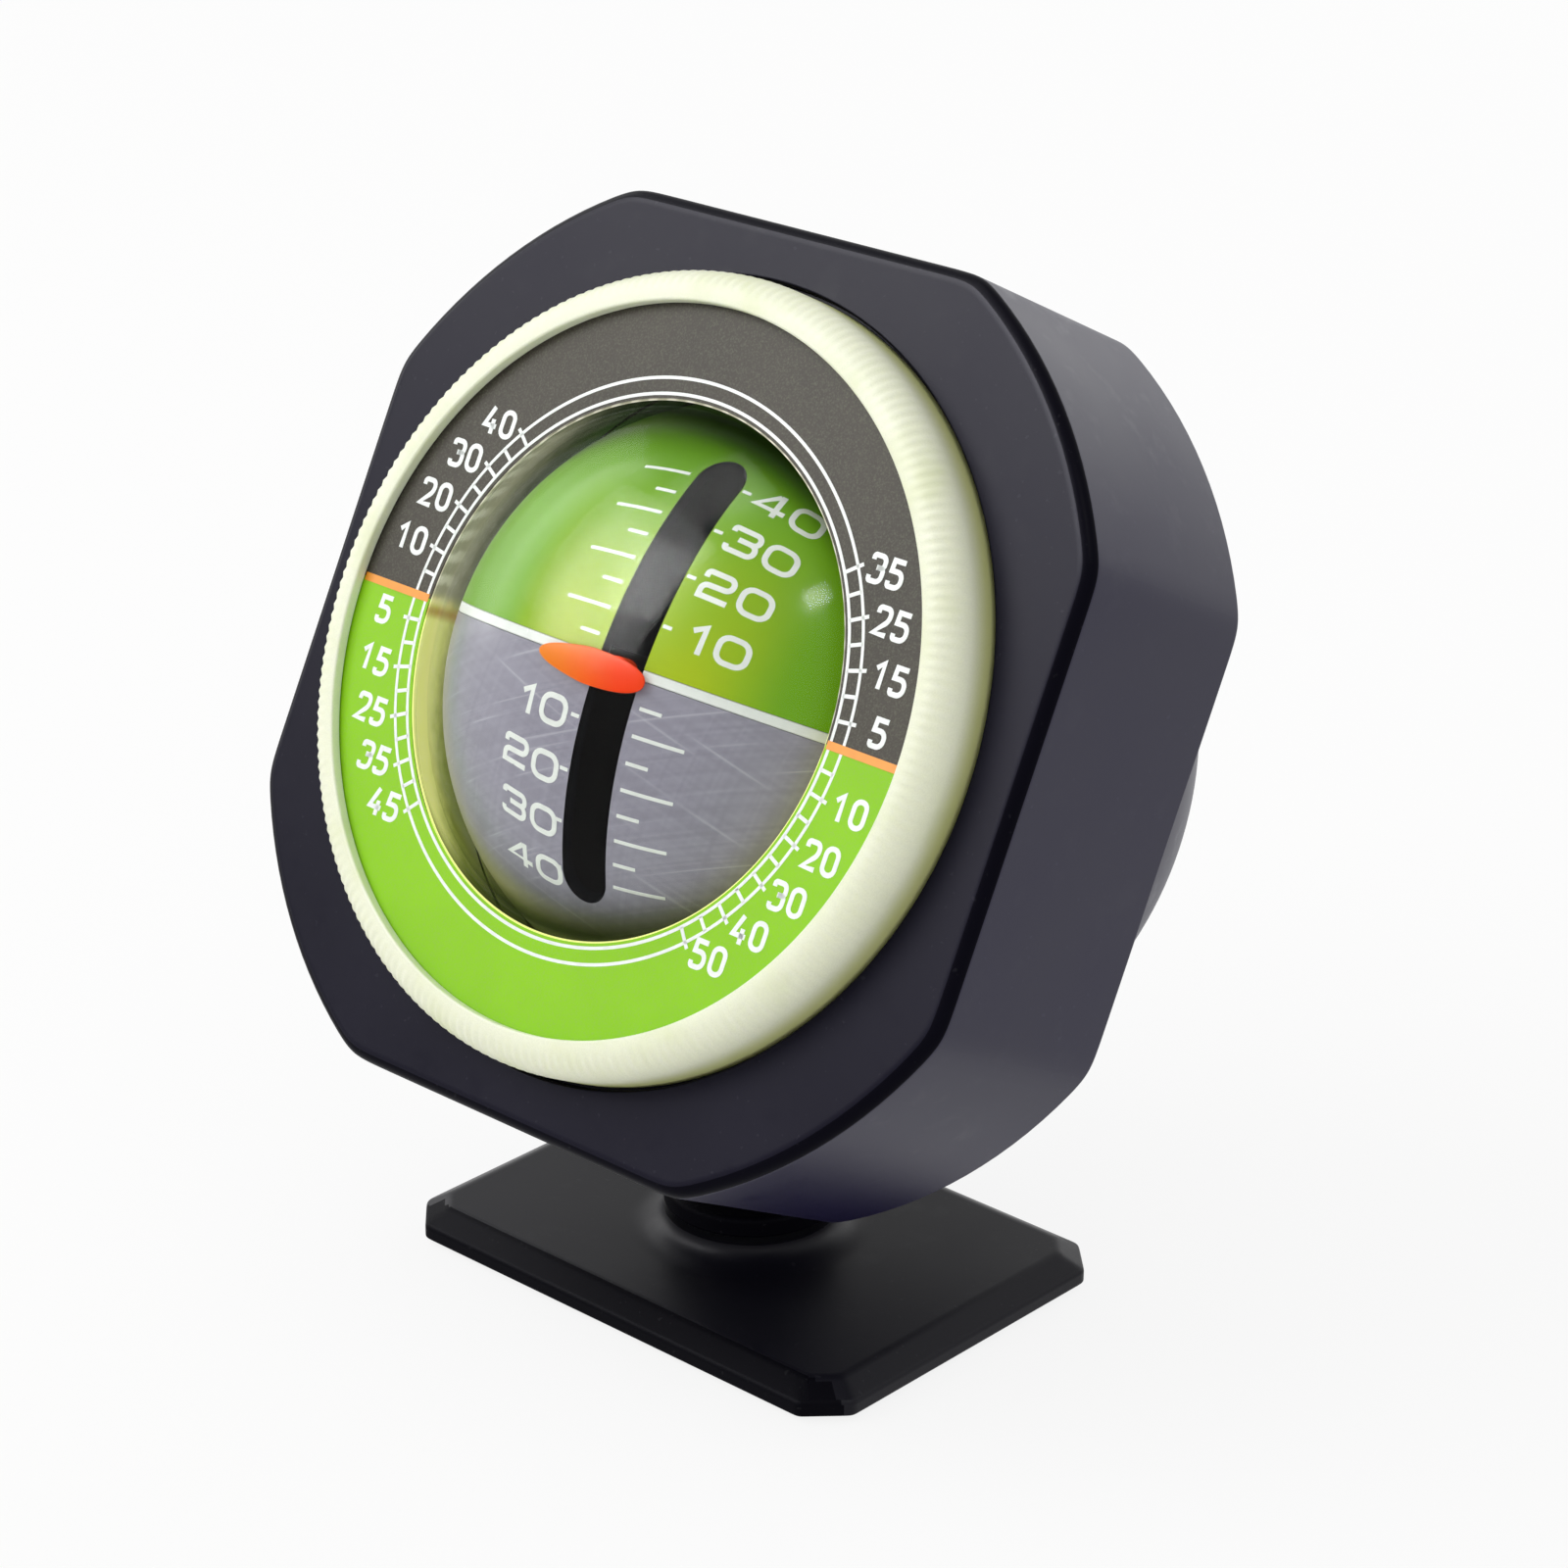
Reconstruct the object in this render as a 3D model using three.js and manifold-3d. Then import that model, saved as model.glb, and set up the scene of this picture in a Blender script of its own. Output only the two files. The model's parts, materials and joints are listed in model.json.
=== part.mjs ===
// Dash inclinometer: a weighted ball on a two-axis gimbal inside a clear capsule, with a fixed dial ring
// round it, in a head that tilts and swivels on a small stick-down foot.
// Lengths are millimetres and angles are degrees. The origin is the centre of the foot's underside,
// X to the right, Y to the back, Z up. Inside the head, Y runs from the face into the case.
import * as THREE from "three";
import { mergeVertices } from "three/addons/utils/BufferGeometryUtils.js";
import Module from "manifold-3d";

const wasm = await Module();
wasm.setup();

// Clearances
const fit_gap = 0.3; // round or turned pieces
const seat_gap = 0.15; // flat faces that rest on each other
const cut_overrun = 1; // how far a cutting shape runs past what it cuts

// Counts that set how fine the round shapes are
const sphere_sides = 36;
const sphere_rings = 8;
const ring_sides = 40;
const small_sides = 16;
const nut_sides = 6;
const arc_steps = 6;
const edge_steps = 2;

// Case: from the front, a circle cut by a square
const case_half_flat = 37.5;
const case_corner_reach = 4.2; // how far the circle reaches past the flats
const case_circle_radius = case_half_flat + case_corner_reach;
const case_corner_blend = 1.8;
const case_depth = 21.4;
const case_front_round = 1.2;
const case_wall = 2;
const face_thickness = 3;

// Head placement: how far it leans back, and how the foot carries it
const head_lean = 27.35;
const pivot_height = 11;
const knuckle_gap = 4.5;
const knuckle_angle = 16.6;

// Rear cover
const cover_thickness = 2.4;
const dome_margin = 5.2; // between the dome's foot and the flats
const dome_radius = case_half_flat - dome_margin;
const dome_wall = 2.2;

// Glowing ring and dial ring, in front of the face
const glow_margin = 4.93; // between the ring and the flats
const glow_width = 3.03;
const glow_outer_radius = case_half_flat - glow_margin;
const glow_inner_radius = glow_outer_radius - glow_width;
const glow_height = 4.83;
const glow_crown = 2.9;
const glow_lip = 0.95;
const glow_seat_depth = 1.2;
const glow_wall = 1.95;
const dial_thickness = 1;

// Capsule: two clear half spheres with flanges, and a flat seal between them
const capsule_margin = 5.07; // between the sphere and the outside of the glowing ring
const capsule_radius = glow_outer_radius - capsule_margin;
const capsule_wall = 1;
const capsule_centre_depth = 13.5;
const flange_width = 2.9;
const flange_radius = capsule_radius + flange_width;
const flange_thickness = 1.4;
const seal_thickness = 0.7;
const clamp_wall = 1.9;
const clamp_room = 0.7; // between the sphere and the tubes that clamp its flanges

// Gimbal: the capsule sits turned in the case, so the roll axis points to the viewer's right
const gimbal_turn = 14;
const shaft_radius = 1.2;
const stem_radius = 0.8;
const cross_head_radius = 2.4;
const cross_head_half_width = 3.4;
const axle_radius = 1;
const bearing_wall = 1.5;
const bearing_length = 4.2;
const hub_wall = 1.5;
const hub_rise = 4.4; // how far the bearing hub stands out of the capsule
const clip_thickness = 0.8;
const cap_thickness = 1.2;

// Pointer: a curved almond on the front of the stem, most of it to the left
const pointer_length = 10;
const pointer_height = 2.9;
const pointer_shift = 2.3; // from the stem to the almond's middle
const pointer_drop = 0.35; // how far the almond's middle lies below the stem's axis
const pointer_thickness = 0.45;
const pointer_air = 0.35; // between the pointer and the ball

// Ball
const ball_air = 1.3; // between the ball and the capsule
const ball_radius = capsule_radius - capsule_wall - ball_air;
const ball_wall = 1.2;
const slot_half_width = 2;
const slot_half_angle = 46;
const horizon_thickness = 0.6;
const hub_inner = 4.2;
const hub_outer = 9;
const hub_radius = 2.7;
const axle_end_wall = 1;
const weight_radius = 5;
const weight_height = 5.6;

// Case screws
const screw_edge_distance = 5.7; // from a screw's axis to the case's circle
const screw_circle_radius = case_circle_radius - screw_edge_distance;
const screw_radius = 1;
const screw_head_radius = 2.2;
const screw_head_height = 1.1;
const screw_length = 11;
const screw_slot_width = 0.6;
const screw_slot_depth = 0.5;
const post_wall = 1.6;

// Foot
const foot_half_width = 24.9;
const foot_half_depth = 18;
const foot_corner_cut = 3.2;
const foot_height = 3.2;
const foot_rim = 1.3;
const foot_bevel = 2.1;
const pad_thickness = 0.6;
const pad_margin = 1.6;
const pedestal_foot_radius = 10.5;
const pedestal_top_radius = 7.5;
const pedestal_top = 5;

// Swivel fork and its screws
const washer_thickness = 0.4;
const fork_disc_thickness = 1.8;
const fork_ear_thickness = 2;
const tongue_width = 5.8;
const tongue_radius = 3;
const ear_radius = 3.2;
const hinge_bolt_radius = 1.4;
const hinge_head_radius = 2.4;
const hinge_head_height = 1.2;
const swivel_bolt_radius = 1.5;
const swivel_head_radius = 3.2;
const swivel_head_height = 1.6;

const degree = Math.PI / 180;
const quarter_turn = Math.PI / 2;

// Materials
function finish(color, roughness, metalness = 0) {
  return new THREE.MeshStandardMaterial({ color, roughness, metalness });
}
const case_plastic = finish(0x35353f, 0.55);
const foot_plastic = finish(0x3a3a44, 0.6);
const glow_plastic = finish(0xe6ead0, 0.5);
const dial_print = finish(0x8fca38, 0.45);
const clear_plastic = finish(0xdfe8d8, 0.05);
clear_plastic.transparent = true;
clear_plastic.opacity = 0.3;
const green_shell = finish(0x7fb02a, 0.4);
const grey_shell = finish(0x8d8a9e, 0.4);
const white_plastic = finish(0xeef2ee, 0.5);
const orange_plastic = finish(0xff5a14, 0.4);
const black_plastic = finish(0x15151a, 0.4);
const steel = finish(0xa8acb2, 0.35, 1);
const brass = finish(0xb59a55, 0.35, 1);
const lead = finish(0x6a6d73, 0.6, 1);
const rubber = finish(0x222226, 0.8);
const foam = finish(0x2a2a2c, 0.9);

// Solids
function signedVolume(positions, triangles) {
  let sum = 0;
  const corner = [new THREE.Vector3(), new THREE.Vector3(), new THREE.Vector3()];
  for (let start = 0; start < triangles.length; start += 3) {
    corner.forEach((point, k) => point.fromArray(positions, 3 * triangles[start + k]));
    sum += corner[0].dot(corner[1].clone().cross(corner[2]));
  }
  return sum;
}

function solidOf(geometry) {
  const bare = geometry.clone();
  ["normal", "uv"].forEach((name) => bare.deleteAttribute(name));
  const merged = mergeVertices(bare);
  const positions = merged.attributes.position.array;
  const index = merged.index.array;
  const triangles = [];
  for (let start = 0; start < index.length; start += 3) {
    const [a, b, c] = index.slice(start, start + 3);
    if (a !== b && b !== c && c !== a) triangles.push(a, b, c);
  }
  if (signedVolume(positions, triangles) < 0) triangles.reverse();
  return new wasm.Manifold(
    new wasm.Mesh({
      numProp: 3,
      vertProperties: new Float32Array(positions),
      triVerts: new Uint32Array(triangles),
    }),
  );
}

function geometryOf(solid) {
  const mesh = solid.getMesh();
  const geometry = new THREE.BufferGeometry();
  geometry.setAttribute("position", new THREE.BufferAttribute(mesh.vertProperties, mesh.numProp));
  geometry.setIndex(new THREE.BufferAttribute(mesh.triVerts, 1));
  geometry.computeVertexNormals();
  return geometry;
}

function addPiece(group, name, solid, material) {
  const mesh = new THREE.Mesh(geometryOf(solid), material);
  mesh.name = name;
  group.add(mesh);
  return mesh;
}

function joined(solids) {
  return solids.reduce((whole, next) => whole.add(next));
}

// A round bar along an axis, from one place on it to another
function bar(axis, from, to, radius, sides = small_sides) {
  const geometry = new THREE.CylinderGeometry(radius, radius, to - from, sides);
  geometry.translate(0, (from + to) / 2, 0);
  if (axis === "x") geometry.rotateZ(-quarter_turn);
  if (axis === "z") geometry.rotateX(quarter_turn);
  return geometry;
}

function box(low, high) {
  const size = high.map((value, k) => value - low[k]);
  const middle = high.map((value, k) => (value + low[k]) / 2);
  return new THREE.BoxGeometry(...size).translate(...middle);
}

// An outline in X and Z, made solid between two depths
function slab(shape, front, back, curve_steps = small_sides) {
  const geometry = new THREE.ExtrudeGeometry(shape, {
    depth: back - front,
    bevelEnabled: false,
    curveSegments: curve_steps,
  });
  return geometry.rotateX(quarter_turn).translate(0, back, 0);
}

function turned(points, sides = ring_sides) {
  return new THREE.LatheGeometry(points.map(([r, y]) => new THREE.Vector2(r, y)), sides);
}

// A ring with a rectangular section, round the Y axis
function ring(inner, outer, front, back, sides = ring_sides) {
  const section = [[inner, front], [outer, front], [outer, back], [inner, back], [inner, front]];
  return turned(section, sides);
}

function arc(radius, from, to, steps, centre = [0, 0]) {
  return Array.from({ length: steps + 1 }, (_, k) => {
    const angle = from + ((to - from) * k) / steps;
    return [centre[0] + radius * Math.cos(angle), centre[1] + radius * Math.sin(angle)];
  });
}

function sphere(radius, depth) {
  const pole_to_pole = arc(radius, -quarter_turn, quarter_turn, 2 * sphere_rings);
  pole_to_pole[0][0] = 0;
  pole_to_pole[2 * sphere_rings][0] = 0;
  return turned(pole_to_pole, sphere_sides).translate(0, depth, 0);
}

// The case outline: flats of a square joined by arcs of a circle, with a short blend at each corner
function caseOutline(inset) {
  const flat = case_half_flat - inset;
  const radius = case_circle_radius - inset;
  const meet = Math.acos(flat / radius);
  const trim = case_corner_blend / radius;
  const half_flat_length = radius * Math.sin(meet) - case_corner_blend;
  const points = [];
  for (let side = 0; side < 4; side += 1) {
    const turn = side * quarter_turn;
    const spin = ([x, y]) =>
      new THREE.Vector2(
        x * Math.cos(turn) - y * Math.sin(turn),
        x * Math.sin(turn) + y * Math.cos(turn),
      );
    const round_part = arc(radius, meet + trim, quarter_turn - meet - trim, arc_steps);
    const start = new THREE.Vector2(flat, half_flat_length);
    const corner = new THREE.Vector2(flat, radius * Math.sin(meet));
    const into_arc = new THREE.QuadraticBezierCurve(start, corner, new THREE.Vector2(...round_part[0]));
    const blend = into_arc.getPoints(edge_steps).slice(0, edge_steps);
    points.push(...blend.map((p) => spin([p.x, p.y])));
    points.push(...round_part.map(spin));
    const mirrored = blend.slice(1).reverse().map((p) => spin([p.y, p.x]));
    points.push(...mirrored);
    points.push(spin([half_flat_length, flat]));
  }
  return new THREE.Shape(points);
}

// Frames: the head leans back about the hinge pivot, and the gimbal is turned about the head's Z
const pivot_reach = dome_radius + knuckle_gap;
const pivot_in_head = new THREE.Vector3(
  0,
  case_depth + pivot_reach * Math.sin(knuckle_angle * degree),
  -pivot_reach * Math.cos(knuckle_angle * degree),
);
const part = new THREE.Group();
const head = new THREE.Group();
head.rotation.x = -head_lean * degree;
head.position.set(0, 0, pivot_height).sub(pivot_in_head.clone().applyEuler(head.rotation));
const gimbal = new THREE.Group();
gimbal.position.y = capsule_centre_depth;
gimbal.rotation.z = gimbal_turn * degree;
head.add(gimbal);
part.add(head);

// Depths that several head pieces share
const cover_front = case_depth - cover_thickness;
const dial_front = glow_lip + seat_gap - glow_height;
const dial_back = dial_front + dial_thickness;
const dial_outer_radius = glow_outer_radius - glow_wall - fit_gap;
const half_seal = seal_thickness / 2;
const flange_face = half_seal + seat_gap;
const clamp_inner_radius = capsule_radius + clamp_room;
const clamp_outer_radius = clamp_inner_radius + clamp_wall;
const flange_reach = flange_face + flange_thickness + seat_gap;
const post_radius = screw_radius + fit_gap + post_wall;
const screw_places = [1, 3, 5, 7].map((k) => [
  screw_circle_radius * Math.cos((k * quarter_turn) / 2),
  screw_circle_radius * Math.sin((k * quarter_turn) / 2),
]);

function atScrews(makeGeometry) {
  return joined(screw_places.map(([x, z]) => solidOf(makeGeometry().translate(x, 0, z))));
}

function caseFront() {
  const body = new THREE.ExtrudeGeometry(caseOutline(0), {
    depth: case_depth,
    bevelThickness: case_front_round,
    bevelSize: case_front_round,
    bevelOffset: -case_front_round,
    bevelSegments: edge_steps,
  });
  body.rotateX(quarter_turn).translate(0, case_depth + case_front_round, 0);
  const wide = case_half_flat + cut_overrun;
  const behind = [
    [-wide, case_depth, -wide],
    [wide, case_depth + 2 * case_front_round + cut_overrun, wide],
  ];
  const cavity = slab(caseOutline(case_wall), face_thickness, case_depth + cut_overrun);
  const dial_seat = ring(0, dial_outer_radius - fit_gap, dial_back + seat_gap, face_thickness);
  const clamp_end = capsule_centre_depth - flange_reach;
  const clamp = ring(clamp_inner_radius, clamp_outer_radius, face_thickness - seat_gap, clamp_end);
  const post = () => bar("y", face_thickness - seat_gap, cover_front - seat_gap, post_radius);
  const screw_hole = () => bar("y", face_thickness, cover_front + cut_overrun, screw_radius + fit_gap);
  const recess = ring(
    dial_outer_radius - fit_gap,
    glow_outer_radius + fit_gap,
    -glow_height,
    glow_seat_depth,
  );
  return solidOf(body)
    .subtract(solidOf(box(...behind)))
    .subtract(solidOf(cavity))
    .subtract(solidOf(recess))
    .add(solidOf(dial_seat))
    .add(atScrews(post))
    .subtract(atScrews(screw_hole))
    .subtract(solidOf(sphere(capsule_radius + fit_gap, capsule_centre_depth)))
    .add(solidOf(clamp));
}

// The tongue under the rear dome: a round end on the hinge pivot, with straight sides up to the dome
function tongue(width, end_radius) {
  const inward = new THREE.Vector2(case_depth - pivot_in_head.y, -pivot_in_head.z).normalize();
  const lean = Math.atan2(inward.y, inward.x);
  const round_end = arc(end_radius, lean + quarter_turn, lean + 3 * quarter_turn, small_sides / 2);
  const root = inward.clone().multiplyScalar(knuckle_gap + dome_wall / 2);
  const last = round_end[small_sides / 2];
  const outline = [...round_end, [last[0] + root.x, last[1] + root.y]];
  outline.push([round_end[0][0] + root.x, round_end[0][1] + root.y]);
  const shape = new THREE.Shape(outline.map(([y, z]) => new THREE.Vector2(y, z)));
  const geometry = new THREE.ExtrudeGeometry(shape, { depth: width, bevelEnabled: false });
  geometry.translate(0, 0, -width / 2).rotateY(quarter_turn).rotateX(quarter_turn);
  return geometry.translate(0, pivot_in_head.y, pivot_in_head.z);
}

function domeShell(outer, inner) {
  const outside = arc(outer, 0, quarter_turn, sphere_rings);
  const inside = arc(inner, quarter_turn, 0, sphere_rings);
  outside[sphere_rings][0] = 0;
  inside[0][0] = 0;
  // a short cylinder in front of the dome lets it join the plate
  const foot = -cover_thickness / 2;
  return [...inside, [inner, foot], [outer, foot], ...outside];
}

function rearCover() {
  const plate = slab(caseOutline(case_wall + fit_gap), cover_front, case_depth);
  const inner = dome_radius - dome_wall;
  const mouth = bar("y", cover_front - cut_overrun, case_depth + cut_overrun, inner, ring_sides);
  const dome = turned(domeShell(dome_radius, inner).reverse(), ring_sides).translate(0, case_depth, 0);
  const clamp_start = capsule_centre_depth + flange_reach;
  const clamp_end = cover_front + cover_thickness / 2;
  const clamp = ring(clamp_inner_radius, inner + dome_wall / 2, clamp_start, clamp_end);
  const head_room = () =>
    bar("y", case_depth - screw_head_height, case_depth + cut_overrun, screw_head_radius + fit_gap);
  const shank_room = () =>
    bar("y", cover_front - cut_overrun, case_depth + cut_overrun, screw_radius + fit_gap);
  const bolt = bar("x", -case_half_flat, case_half_flat, hinge_bolt_radius + fit_gap);
  bolt.translate(0, pivot_in_head.y, pivot_in_head.z);
  const inside_dome = solidOf(sphere(inner + dome_wall / 2, case_depth));
  return solidOf(plate)
    .subtract(solidOf(mouth))
    .add(solidOf(dome))
    .add(solidOf(clamp))
    .add(solidOf(tongue(tongue_width, tongue_radius)).subtract(inside_dome))
    .subtract(atScrews(head_room))
    .subtract(atScrews(shank_room))
    .subtract(solidOf(bolt));
}

function caseScrew(place) {
  const head_start = case_depth - screw_head_height + seat_gap;
  const cap = bar("y", head_start, case_depth, screw_head_radius);
  const shank = bar("y", case_depth - screw_length, head_start + seat_gap, screw_radius);
  const reach = screw_head_radius + cut_overrun;
  const half_slot = screw_slot_width / 2;
  const bottom = case_depth - screw_slot_depth;
  const across = [[-reach, bottom, -half_slot], [reach, case_depth + cut_overrun, half_slot]];
  const along = [[-half_slot, bottom, -reach], [half_slot, case_depth + cut_overrun, reach]];
  return solidOf(cap)
    .add(solidOf(shank))
    .subtract(solidOf(box(...across)))
    .subtract(solidOf(box(...along)))
    .translate(place[0], 0, place[1]);
}

function glowRing() {
  const crown_height = glow_height - glow_crown;
  const crown_width = glow_outer_radius - glow_inner_radius - glow_lip / 2;
  const rabbet = glow_outer_radius - glow_wall;
  // a quarter of an ellipse rounds the outer wall over to the front
  const crown = Array.from({ length: arc_steps + 1 }, (_, k) => {
    const angle = (quarter_turn * k) / arc_steps;
    return [
      glow_outer_radius - crown_width * (1 - Math.cos(angle)),
      -crown_height - glow_crown * Math.sin(angle),
    ];
  });
  const inside = [
    [glow_inner_radius, -glow_height],
    [glow_inner_radius, glow_lip - glow_height],
    [rabbet, glow_lip - glow_height],
    [rabbet, glow_seat_depth - seat_gap],
    [glow_outer_radius, glow_seat_depth - seat_gap],
  ];
  return solidOf(turned([...crown, ...inside, crown[0]]));
}

function dialRing() {
  const disc = bar("y", dial_front, dial_back, dial_outer_radius, ring_sides);
  return solidOf(disc).subtract(solidOf(sphere(capsule_radius + fit_gap, capsule_centre_depth)));
}

// One half of the capsule, opening towards +Y, with its flange at the open edge
function capsuleHalf() {
  const inner = capsule_radius - capsule_wall;
  const flange_back = flange_face + flange_thickness;
  const outside = arc(capsule_radius, -quarter_turn, -Math.asin(flange_back / capsule_radius), sphere_rings);
  const inside = arc(inner, -Math.asin(flange_face / inner), -quarter_turn, sphere_rings);
  outside[0][0] = 0;
  inside[sphere_rings][0] = 0;
  const flange = [[flange_radius, -flange_back], [flange_radius, -flange_face]];
  return turned([...outside, ...flange, ...inside], sphere_sides);
}

const hub_bore = shaft_radius + fit_gap + bearing_wall + fit_gap;
const hub_end = capsule_radius + hub_rise;

function capsuleBack() {
  const half = capsuleHalf().rotateX(2 * quarter_turn).translate(0, capsule_centre_depth, 0);
  const place = (geometry) => geometry.rotateZ(gimbal_turn * degree).translate(0, capsule_centre_depth, 0);
  const hub = place(bar("y", capsule_radius - capsule_wall / 2, hub_end, hub_bore + hub_wall));
  const bore = place(bar("y", capsule_radius - 2 * capsule_wall, hub_end + cut_overrun, hub_bore));
  return solidOf(half).add(solidOf(hub)).subtract(solidOf(bore));
}

addPiece(head, "case_front", caseFront(), case_plastic);
addPiece(head, "rear_cover", rearCover(), case_plastic);
screw_places.forEach((place, k) => addPiece(head, `case_screw_${k + 1}`, caseScrew(place), steel));
addPiece(head, "glow_ring", glowRing(), glow_plastic);
addPiece(head, "dial_ring", dialRing(), dial_print);
const lens = solidOf(capsuleHalf().translate(0, capsule_centre_depth, 0));
addPiece(head, "dome_lens", lens, clear_plastic);
addPiece(head, "capsule_back", capsuleBack(), black_plastic);
const seal_ring = ring(
  capsule_radius + seat_gap,
  flange_radius - seat_gap,
  capsule_centre_depth - half_seal,
  capsule_centre_depth + half_seal,
  sphere_sides,
);
addPiece(head, "capsule_seal", solidOf(seal_ring), rubber);

// Roll frame: the shaft in the rear bearing, the cross head at the ball's centre, the stem and the pointer
const bearing_start = hub_end - cap_thickness - bearing_length;
const shaft_end = bearing_start + bearing_length - clip_thickness;

function rollBearing() {
  const inner = shaft_radius + fit_gap;
  const end = shaft_end - clip_thickness;
  return solidOf(ring(inner, inner + bearing_wall, bearing_start, end, small_sides));
}

function bearingCap() {
  const plug_end = hub_end - cap_thickness / 2;
  const plug = bar("y", plug_end, hub_end + cap_thickness, hub_bore - fit_gap);
  const brim = bar("y", hub_end + seat_gap, hub_end + cap_thickness, hub_bore + hub_wall);
  return solidOf(plug).add(solidOf(brim));
}

const stem_end = ball_radius - ball_wall;
const pointer_inner = ball_radius + pointer_air;

function rollShaft() {
  const cross = bar("x", -cross_head_half_width, cross_head_half_width, cross_head_radius);
  const shaft = bar("y", cross_head_radius / 2, shaft_end, shaft_radius);
  const stem = bar("y", -stem_end, -cross_head_radius / 2, stem_radius);
  const axle_hole = bar("x", -hub_outer, hub_outer, axle_radius + fit_gap);
  return solidOf(cross).add(solidOf(shaft)).add(solidOf(stem)).subtract(solidOf(axle_hole));
}

// The pointer is an almond cut from a thin spherical shell, with a socket for the stem behind it
function pitchPointer() {
  const half_length = pointer_length / 2;
  const half_height = pointer_height / 2;
  const middle = -pointer_shift;
  const [left, right] = [middle - half_length, middle + half_length];
  const [top, bottom] = [half_height - pointer_drop, -half_height - pointer_drop];
  const edge = new THREE.Shape();
  edge.moveTo(left, -pointer_drop);
  edge.quadraticCurveTo(left, top, middle, top);
  edge.quadraticCurveTo(right, top, right, -pointer_drop);
  edge.quadraticCurveTo(right, bottom, middle, bottom);
  edge.quadraticCurveTo(left, bottom, left, -pointer_drop);
  const almond = slab(edge, -capsule_radius, -ball_radius / 2, arc_steps);
  const outer = solidOf(sphere(pointer_inner + pointer_thickness, 0));
  const shell = outer.subtract(solidOf(sphere(pointer_inner, 0)));
  const socket_radius = stem_radius + fit_gap;
  const socket_front = pointer_inner + pointer_thickness / 2;
  const collar = bar("y", -socket_front, seat_gap - stem_end, socket_radius);
  const plug = bar("y", -stem_end - seat_gap, 0, socket_radius + fit_gap);
  return shell.intersect(solidOf(almond)).add(solidOf(collar).subtract(solidOf(plug)));
}

const gimbal_fixed = { roll_bearing: [rollBearing(), brass], bearing_cap: [bearingCap(), rubber] };
Object.entries(gimbal_fixed).forEach(([name, [solid, look]]) => addPiece(gimbal, name, solid, look));
addPiece(gimbal, "roll_shaft", rollShaft(), steel);
const clip_inner = shaft_radius + fit_gap;
const clip_ring = ring(
  clip_inner,
  clip_inner + bearing_wall / 2,
  shaft_end - clip_thickness + seat_gap,
  shaft_end,
  small_sides,
);
addPiece(gimbal, "shaft_clip", solidOf(clip_ring), steel);
addPiece(gimbal, "pitch_pointer", pitchPointer(), orange_plastic);
const axle_half_length = hub_outer - axle_end_wall - seat_gap;
const axle = bar("x", -axle_half_length, axle_half_length, axle_radius);
addPiece(gimbal, "pitch_axle", solidOf(axle), steel);

// Ball: two shells, two half plates between them whose edges draw the horizon, and a weight
const half_plate = horizon_thickness / 2;
const slot_half_height = ball_radius * Math.sin(slot_half_angle * degree);

// The slot runs through the ball from front to back, with round ends above and below
function slotCut() {
  const straight = slot_half_height - slot_half_width;
  const top = arc(slot_half_width, 0, 2 * quarter_turn, small_sides / 2, [0, straight]);
  const bottom = arc(slot_half_width, 2 * quarter_turn, 4 * quarter_turn, small_sides / 2, [0, -straight]);
  const outline = new THREE.Shape([...top, ...bottom].map(([x, z]) => new THREE.Vector2(x, z)));
  return slab(outline, -ball_radius - cut_overrun, ball_radius + cut_overrun);
}

function ballShell(up) {
  const inner = ball_radius - ball_wall;
  const start = half_plate + seat_gap;
  const outside = arc(ball_radius, quarter_turn, Math.asin(start / ball_radius), sphere_rings);
  const inside = arc(inner, Math.asin(start / inner), quarter_turn, sphere_rings);
  outside[0][0] = 0;
  inside[sphere_rings][0] = 0;
  const shell = turned([...outside, ...inside], sphere_sides).rotateX(up ? quarter_turn : -quarter_turn);
  return solidOf(shell).subtract(solidOf(slotCut()));
}

function horizonPlate(side) {
  const disc = bar("z", -half_plate, half_plate, ball_radius, ring_sides);
  const far = side * (ball_radius + cut_overrun);
  const near = side * slot_half_width;
  const half_box = box(
    [Math.min(near, far), -ball_radius - cut_overrun, -cut_overrun],
    [Math.max(near, far), ball_radius + cut_overrun, cut_overrun],
  );
  const [hub_start, hub_stop] = [side * hub_inner, side * hub_outer].sort((a, b) => a - b);
  const hub = bar("x", hub_start, hub_stop, hub_radius);
  const [room_start, room_stop] = [0, side * hub_inner].sort((a, b) => a - b);
  const cross_room = bar("x", room_start, room_stop, cross_head_radius + 2 * fit_gap);
  const bore_end = side * (hub_outer - axle_end_wall);
  const [bore_start, bore_stop] = [0, bore_end].sort((a, b) => a - b);
  const bore = bar("x", bore_start, bore_stop, axle_radius + fit_gap);
  return solidOf(disc)
    .intersect(solidOf(half_box))
    .subtract(solidOf(cross_room))
    .add(solidOf(hub))
    .subtract(solidOf(bore));
}

// The weight lies against the inside of the lower shell, straight below the ball's centre as the head stands
function ballWeight() {
  const reach = ball_radius - ball_wall - fit_gap;
  const slug = bar("z", -reach - cut_overrun, weight_height - reach, weight_radius);
  const tilt = new THREE.Matrix4().makeRotationX(head_lean * degree);
  const turn = new THREE.Matrix4().makeRotationZ(-gimbal_turn * degree);
  slug.applyMatrix4(turn.multiply(tilt));
  return solidOf(slug).intersect(solidOf(sphere(reach, 0)));
}

addPiece(gimbal, "upper_ball_shell", ballShell(true), green_shell);
addPiece(gimbal, "lower_ball_shell", ballShell(false), grey_shell);
addPiece(gimbal, "right_horizon_plate", horizonPlate(1), white_plastic);
addPiece(gimbal, "left_horizon_plate", horizonPlate(-1), white_plastic);
addPiece(gimbal, "ball_weight", ballWeight(), lead);

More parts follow.
